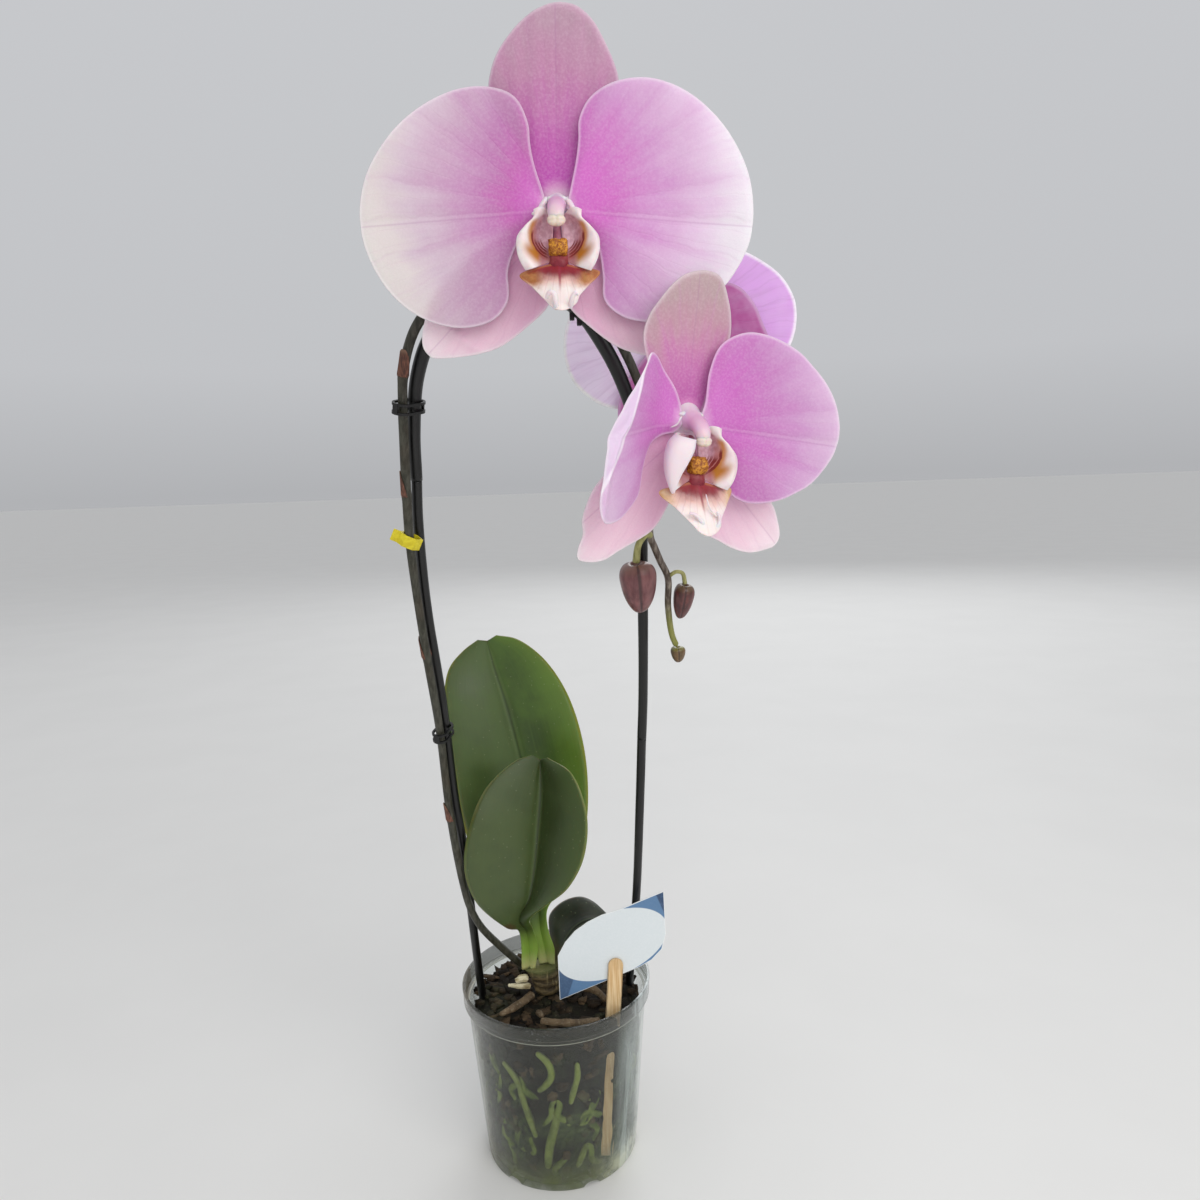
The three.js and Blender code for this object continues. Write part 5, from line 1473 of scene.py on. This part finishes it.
def crown():
    """The short stem: leaning to the left as it rises, ringed by old leaf bases."""
    rows, cols, low, high = 60, 64, 104.3, 121
    rings = []
    angles = circle(cols)
    for z in np.linspace(low, high, rows):
        t = (z - low) / (high - low)
        swell = 0.955 + 0.045 * math.cos((z - 106.5) / 4.75 * 2 * math.pi) - 0.04 * smooth(0.85, 1, t)
        swell = swell - 0.06 * (1 - smooth(0, 0.06, t))
        flute = 1 + 0.02 * np.cos(9 * angles + z * 0.4)
        x = -6 - 4.5 * t * t + (8.5 + 2.5 * t * t) * swell * np.cos(angles) * flute
        rings.append(np.column_stack([x, -2 + 8 * swell * np.sin(angles) * flute, np.full(cols, z)]))
    return ringed(np.array(rings), {})


piece("stem_base", rough(crown(), 0.25, 0.6, 2), crown_paint())
stub_material = stub_paint()
for name, points, radii in [
    ("old_leaf_base_upper", [[-18.2, -7.5, 116], [-22, -9, 117.2], [-26, -9.5, 115.6]], [2.3, 2.2, 1.5]),
    ("old_leaf_base_lower", [[-16.4, -7.5, 110.8], [-23, -8, 111.6], [-31, -6.5, 111.8]], [1.7, 1.8, 0.8]),
]:
    shape = tube(points, radii, 28, 0.4, 0.4,
                 lambda mm, a: 1 + 0.08 * np.cos(7 * a) - 0.04 * np.sin(mm * 2))
    piece(name, rough(shape, 0.15, 0.9, 1), stub_material)


def facing_wall(verts, row):
    """How much each point of a root along row faces the pot's wall, from 0 to 1."""
    nearest = np.argmin(np.linalg.norm(verts[:, None] - row[None], axis=2), axis=1)
    out = unit(verts * np.array([1, 1, 0]))
    return np.clip(np.sum(unit(verts - row[nearest]) * out, axis=1), 0, 1)[:, None]


top_root_paint = root_paint("surface_root_skin", "4c3d2a", "6e5b42", "8d8068")
wall_root_paint = root_paint("wall_root_skin", "5a6428", "7c873c", "9a9d62", buried=True)
SURFACE_ROOTS = [
    ([[-15, -10.8, 107], [-23.2, -20, 107], [-32.2, -28.5, 107.2], [-35.5, -30.5, 107]],
     [2.5, 2.5, 2.2, 1.6]),
    ([[4.4, -16, 107], [9, -13.6, 109], [14.5, -12.5, 110.5], [23.8, -14.8, 109.5], [30.7, -23.5, 106.7]],
     [2.3, 2.4, 2.4, 2.2, 1.8]),
    ([[-10.9, -39.5, 106.7], [1, -43.5, 107.2], [13, -44.5, 107], [25, -42.9, 106.6]],
     [1.7, 2.2, 2.2, 1.6]),
    ([[-12.6, -29, 106.6], [-10.8, -32.3, 106.8], [-9.4, -35.6, 106.5]], [1.6, 1.9, 1.4]),
]
WALL_ROOTS = [
    ([[-6, -50.9, 54.5], [-3.9, -50.6, 48.3], [-6, -49.7, 39.2], [-8.8, -48.1, 28.3],
      [-10.7, -46.5, 12.6]], 2.9),
    ([[-36.1, -39.6, 81.5], [-30.2, -43.7, 76], [-25.7, -45.7, 68.7], [-24.3, -45.8, 60.8],
      [-20.7, -46.3, 47.7], [-17, -46.5, 34.4]], 2.3),
    ([[-14.5, -52.7, 93.9], [-7.7, -53.5, 87.5], [-5.7, -53.1, 78.7], [-9.5, -51.9, 71.8],
      [-14.5, -50.2, 67.1]], 2.3),
    ([[10.5, -53, 85.6], [10.2, -52, 75.4], [7.5, -51.6, 66.5], [5.5, -51.5, 58]], 2.1),
    ([[14.8, -46.7, 27.7], [11.5, -47, 20.3], [8.2, -47, 12.6]], 2.2),
]


def root_swell(mm, angle):
    return 1 + 0.05 * np.sin(mm / 2.3) + 0.04 * np.cos(3 * angle + mm / 5)


for number, (points, radii) in enumerate(SURFACE_ROOTS, 1):
    shape = rough(tube(points, radii, 26, 0.6, 1.0, root_swell), 0.3, 0.35, number)
    piece(f"surface_root_{number}", shape, top_root_paint)
wall_rows = []
for number, (points, r) in enumerate(WALL_ROOTS, 1):
    # only the height and direction of each point count, because the root is laid against the wall
    inside = []
    for x, y, z in points:
        k = (inner_radius(z) - r - 0.45) / math.hypot(x, y)
        inside.append([x * k, y * k, z])
    wall_rows.append((even(spline(inside), 40), r))
    shape = tube(inside, [r * 0.7, r, r, r, r * 0.7], 26, 0.6, 1.0,
                 lambda mm, a: 0.97 + 0.03 * np.sin(mm / 2.7))
    shape["fields"]["wallward"] = facing_wall(shape["verts"], wall_rows[-1][0])
    piece(f"wall_root_{number}", shape, wall_root_paint)


# Potting mix

def chip(centre, axes, size):
    """A broken piece of bark: a squared ball with uneven sides."""
    def squared(ball):
        square = 1 / np.maximum(np.max(np.abs(ball), axis=1), 0.55)
        shift = rng.uniform(-50, 50, 3)
        return square * np.array([0.86 + 0.5 * noise.noise(Vector(q * 1.5 + shift)) for q in ball])
    shape = blob((0, 0, 0), size, 2, squared)
    shape["verts"] = shape["verts"] @ np.array(axes) + np.array(centre)
    shape["fields"] = {"shade": np.full((len(shape["verts"]), 1), rng.uniform(0, 1))}
    return shape


def stick_x(z):
    """Middle of the strip of stick that shows through the wall, at a height."""
    return 25.3 + 0.08 * (z - 12)


def polar_point(r, angle, z):
    """A point at a radius and an angle round the pot's axis."""
    return np.array([r * math.cos(angle), r * math.sin(angle), z])


def beside_stick(point, gap):
    """Whether a point lies within the gap on either side of the stick."""
    return abs(point[0] - stick_x(point[2])) < gap and point[1] < -30


def mix_core():
    """The dark middle: fuller just right of the stick, and set back behind the stick."""
    profile = [[0, 2.2], [40, 2.2], [inner_radius(5) - CORE_GAP, 5.5]]
    profile += [[inner_radius(z) - CORE_GAP, z] for z in (20, 40, 60, 80, 96)]
    profile += [[inner_radius(100) - 7, 100.5], [30, 102], [0, 102.5]]
    row = spline(profile, per=8)
    row[:, 0] = np.maximum(row[:, 0], 0.05)
    angles = circle(320)
    rings = np.stack([
        np.column_stack([r * np.cos(angles), r * np.sin(angles), np.full(len(angles), z)]) for r, z in row])
    height = rings[..., 2]
    aside = rings[..., 0] - stick_x(height)
    front = rings[..., 1] < -20
    filled = smooth(1.3, 2.1, aside) * smooth(14, 10, aside) * front
    filled = filled * smooth(5, 9, height) * smooth(99, 95, height)
    rings[..., :2] *= (1 + filled * 2.5 / (inner_radius(height) - CORE_GAP))[..., None]
    bare = smooth(2.6, 1.6, np.abs(aside + 0.3)) * front * smooth(83, 80, height)
    rings[..., 1] += bare * np.clip(-33.6 - rings[..., 1], 0, 20)
    return rough(ringed(rings, {"shade": np.full(height.shape, 0.12)}), 0.6, 0.12, 3)


def wall_chip():
    """A chip against the wall, or nothing where a wall root or the stick is."""
    angle = rng.uniform(0, 2 * math.pi)
    z = rng.uniform(5, 98)
    thick = rng.uniform(1.2, 2.2)
    centre = polar_point(inner_radius(z) - thick * 1.15 - 0.4 - rng.uniform(0, 1.2), angle, z)
    far = min(np.min(np.linalg.norm(row - centre, axis=1)) - r for row, r in wall_rows)
    tilt = rng.uniform(0, math.pi)
    size = (thick, rng.uniform(2.2, 5.2), rng.uniform(1.4, 3.2))
    if far < 3.2 or beside_stick(centre, 2 + size[1] * 0.6):
        return []
    around = polar_point(1, angle + math.pi / 2, 0)
    up = np.array([0, 0, 1.0])
    first = around * math.cos(tilt) + up * math.sin(tilt)
    second = up * math.cos(tilt) - around * math.sin(tilt)
    return [chip(centre, [polar_point(1, angle, 0), first, second], size)]


def buried_root(i):
    """A root whose middle lies nearest to the wall, or nothing where the stick is."""
    angle = -math.pi / 2 + (i / BURIED_ROOTS + rng.uniform(-1.5, 1.5) / BURIED_ROOTS) * 2 * math.pi
    z = rng.uniform(12, 80)
    turn = rng.uniform(-0.35, 0.35)
    points = []
    for step in range(5):
        a = angle + turn * step / 4 + 0.05 * math.sin(step * 2.3 + i)
        height = min(z + 26 * (step / 4) - 13, 94)
        r = inner_radius(height) - 2.9 - 1.3 * abs(step - 2) ** 1.4
        points.append(polar_point(r, a, max(height, 7)))
    if beside_stick(points[2], 6):
        return []
    root = tube(points, np.array([1.0, 1.8, 2.0, 1.8, 1.0]) * rng.uniform(0.8, 1.2), 14, 1.2, 1.0)
    root["fields"] = {"shade": 2 + facing_wall(root["verts"], even(spline(points), 40))}
    return [rough(root, 0.35, 0.3, i)]


def top_chip():
    """A larger chip that lies on top, more or less level."""
    angle = rng.uniform(0, 2 * math.pi)
    r = 49.5 * math.sqrt(rng.uniform(0, 1))
    tilt = rng.uniform(0, math.pi)
    lean = rng.uniform(-0.35, 0.35)
    size = (rng.uniform(3, 6.5), rng.uniform(2, 3.8), rng.uniform(1, 1.9))
    centre = polar_point(r, angle, rng.uniform(101.4, 103))
    first = np.array([math.cos(tilt), math.sin(tilt), lean])
    second = np.array([-math.sin(tilt), math.cos(tilt), rng.uniform(-0.3, 0.3)])
    return chip(centre, [unit(first), unit(second), unit(np.cross(first, second))], size)


def potting_mix():
    """The dark middle with chips and roots along the wall, and chips on top."""
    shapes = [mix_core()]
    for _ in range(WALL_CHIPS):
        shapes += wall_chip()
    for i in range(BURIED_ROOTS):
        shapes += buried_root(i)
    shapes += [top_chip() for _ in range(TOP_CHIPS)]
    return joined(shapes)


piece("bark_mix", potting_mix(), bark_paint())


# Pot

def turned(profile, sides):
    """A body of revolution in metres whose profile starts and ends on the axis."""
    work = bmesh.new()
    rings = []
    for r, z in profile:
        angles = circle(sides) if r else [0]
        rings.append([work.verts.new(polar_point(r, a, z) * MM) for a in angles])
    for low, high in zip(rings, rings[1:]):
        for j in range(sides):
            k = (j + 1) % sides
            if len(low) == 1:
                work.faces.new((low[0], high[k], high[j]))
            elif len(high) == 1:
                work.faces.new((low[j], low[k], high[0]))
            else:
                work.faces.new((low[j], low[k], high[k], high[j]))
    bmesh.ops.recalc_face_normals(work, faces=work.faces)
    return work


def as_mesh(name, work):
    mesh = bpy.data.meshes.new(name)
    work.to_mesh(mesh)
    work.free()
    return mesh


def foot_cutter():
    """Six drain holes in the floor, each with a notch beside it at the foot of the wall."""
    cutter = bmesh.new()

    def drill(radius, depth, matrix):
        bmesh.ops.create_cone(cutter, cap_ends=True, segments=40, radius1=radius * MM, radius2=radius * MM,
                              depth=depth * MM, matrix=matrix)
    for i in range(6):
        angle = (i + 0.5) / 6 * 2 * math.pi
        drill(4.5, 10, Matrix.Translation(polar_point(30 * MM, angle, 0)))
        turn = Matrix.Rotation(angle + 0.35, 4, "Z")
        notch = turn @ Matrix.Translation((47.7 * MM, 0, 0)) @ Matrix.Diagonal((1, 1.3, 0.8, 1))
        drill(4, 12, notch @ Matrix.Rotation(math.pi / 2, 4, "Y"))
    return cutter


def pot():
    """Turned wall with a stepped rim; the drain holes and foot notches are cut from it."""
    profile = [
        [0, 0], [24, 0], [47.4, 0], [48, 0.35], [48.2, 0.9], [inner_radius(25) + WALL, 25],
        [inner_radius(60) + WALL, 60], [inner_radius(101.6) + WALL, 101.6],
        [inner_radius(102.6) + WALL + 0.2, 102.3], [59.1, 102.9], [59.5, 103.5], [59.7, 111.4],
        [POT_RADIUS, 111.9], [POT_RADIUS, 113], [59.7, POT_HEIGHT], [58.6, POT_HEIGHT], [58.3, 113],
        [58.1, 105.2], [57.4, 104], [inner_radius(103) + 0.1, 103], [inner_radius(98), 98],
        [inner_radius(60), 60], [inner_radius(25), 25], [inner_radius(5), 5.4], [46.2, 3], [44.6, 2],
        [43.5, 1.8], [24, 1.8], [0, 1.8],
    ]
    body = add_object("nursery_pot_fine", as_mesh("nursery_pot_fine", turned(profile, 168)))
    tool = add_object("cutter", as_mesh("cutter", foot_cutter()))
    modifier = body.modifiers.new("holes", "BOOLEAN")
    modifier.operation = "DIFFERENCE"
    modifier.solver = "EXACT"
    modifier.object = tool
    bpy.context.view_layer.update()
    cut = bpy.data.meshes.new_from_object(body.evaluated_get(bpy.context.evaluated_depsgraph_get()))
    body.modifiers.clear()
    body.data = cut
    bpy.data.objects.remove(tool)
    cut.materials.clear()
    cut.materials.append(pot_paint())
    work = bmesh.new()
    work.from_mesh(cut)
    for edge in work.edges:
        edge.smooth = len(edge.link_faces) != 2 or edge.calc_face_angle(0) <= math.radians(38)
    for face in work.faces:
        face.smooth = True
    work.to_mesh(cut)
    work.free()
    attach(body, "root")
    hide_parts("nursery_pot")


pot()


# Label

CARD = [[1.5, 116.3], [1.3, 144.5], [6, 153], [12.2, 159.8], [20, 165], [28.5, 168.8], [40, 171.8],
        [66.5, 181.5], [67.1, 154.1], [64.4, 144.6], [58.1, 138.2], [50.7, 134.2], [43.5, 131.6]]


def slab(outline, front, thick, round_off=0.12, step=0.8):
    """Flat plate standing upright, with a fine rounded edge; outline is [x, z]."""
    rim = np.array(outline, float)
    dense = []
    for p, q in zip(rim, np.roll(rim, -1, 0)):
        count = max(int(np.linalg.norm(q - p) / step), 1)
        dense += [p + (q - p) * i / count for i in range(count)]
    rim = np.array(dense)
    middle = rim.mean(0)
    out = outward(rim)
    n = len(rim)
    sheets = [middle + (rim - middle) * s for s in (0.3, 0.6, 0.85, 0.95)]
    sheets += [rim - out * 0.4, rim - out * round_off]
    rows, edges = [], []
    for y, order in ((front, 1), (front + thick, -1)):
        part = [np.column_stack([q[:, 0], np.full(n, y), q[:, 1]]) for q in sheets]
        away = [np.full(n, 9.0)] * (len(sheets) - 2) + [np.full(n, 0.4), np.full(n, 0.1)]
        rows += part[::order]
        edges += away[::order]
        if order == 1:
            for depth in (round_off, thick - round_off):
                rows.append(np.column_stack([rim[:, 0], np.full(n, front + depth), rim[:, 1]]))
                edges.append(np.zeros(n))
    return ringed(np.stack(rows), {"edge": np.stack(edges)})


piece("label_card", slab(CARD, -34.6, 0.8), card_paint())


def stick():
    """Flat stick with a round top, leaning to the right."""
    tilt = math.radians(4.57)
    half = 4.5
    top = 129.7 - half
    outline = [[-half, 0], [half, 0]]
    outline += [[half * math.cos(a), top + half * math.sin(a)] for a in np.linspace(0, math.pi, 24)]
    shape = slab(outline, -36.7, 1.8, 0.25, 1.2)
    x, y, z = shape["verts"].T
    shape["verts"] = np.column_stack([
        26 + x * math.cos(tilt) + z * math.sin(tilt), y, 12 - x * math.sin(tilt) + z * math.cos(tilt)])
    return shape


piece("label_stick", stick(), wood_paint())


# Floor and light

def add_floor():
    """A plain pale floor, 80 m wide."""
    p = Paint("floor_paint", 0.6)
    p.base = p.blend("e5e4e1", "e7e6e3", p.noise(6, 3), 0.3, 0.7)
    p.done(p.noise(300, 2), 0.03, 0.0003)
    mesh = bpy.data.meshes.new("floor")
    mesh.from_pydata([(-40, -40, 0), (40, -40, 0), (40, 40, 0), (-40, 40, 0)], [], [(0, 1, 2, 3)])
    mesh.materials.append(p.material)
    floor = add_object("floor", mesh)


def add_light(name, place, aim, power, size, tint, mirrored_in_gloss=True):
    data = bpy.data.lights.new(name, "AREA")
    data.energy = power
    data.size = size
    data.color = tint
    light = add_object(name, data)
    light.location = place
    light.rotation_euler = (Vector(aim) - Vector(place)).to_track_quat("-Z", "Y").to_euler()
    light.visible_glossy = mirrored_in_gloss


def add_world():
    """Soft even light that is a little dimmer towards the horizon."""
    world = bpy.data.worlds.new("soft_world")
    world.use_nodes = True
    tree = world.node_tree
    background = tree.nodes["Background"]
    background.inputs[0].default_value = (0.95, 0.965, 1, 1)
    where = tree.nodes.new("ShaderNodeTexCoord")
    split = tree.nodes.new("ShaderNodeSeparateXYZ")
    rise = tree.nodes.new("ShaderNodeValToRGB")
    rise.color_ramp.elements.new(0.12)
    levels = ((0.0, 0.465), (0.12, 0.567), (0.6, 0.62))
    for stop, (place, level) in zip(rise.color_ramp.elements, levels):
        stop.position = place
        stop.color = (level, level, level, 1)
    tree.links.new(where.outputs["Generated"], split.inputs[0])
    tree.links.new(split.outputs[2], rise.inputs[0])
    tree.links.new(rise.outputs[0], background.inputs[1])
    bpy.context.scene.world = world


add_floor()
AIM = (0.02, -0.1, 0.32)
add_light("key", (0.6, -1.0, 0.92), AIM, 5.8, 0.8, (1, 0.985, 0.965))
add_light("front", (0.0, -1.8, 0.8), (0.03, -0.15, 0.42), 7.0, 1.3, (1, 0.985, 0.975), False)
add_light("back", (0.9, 2.6, 2.1), AIM, 26, 1.8, (0.96, 0.98, 1))
add_world()
bpy.context.scene.view_settings.view_transform = "Standard"
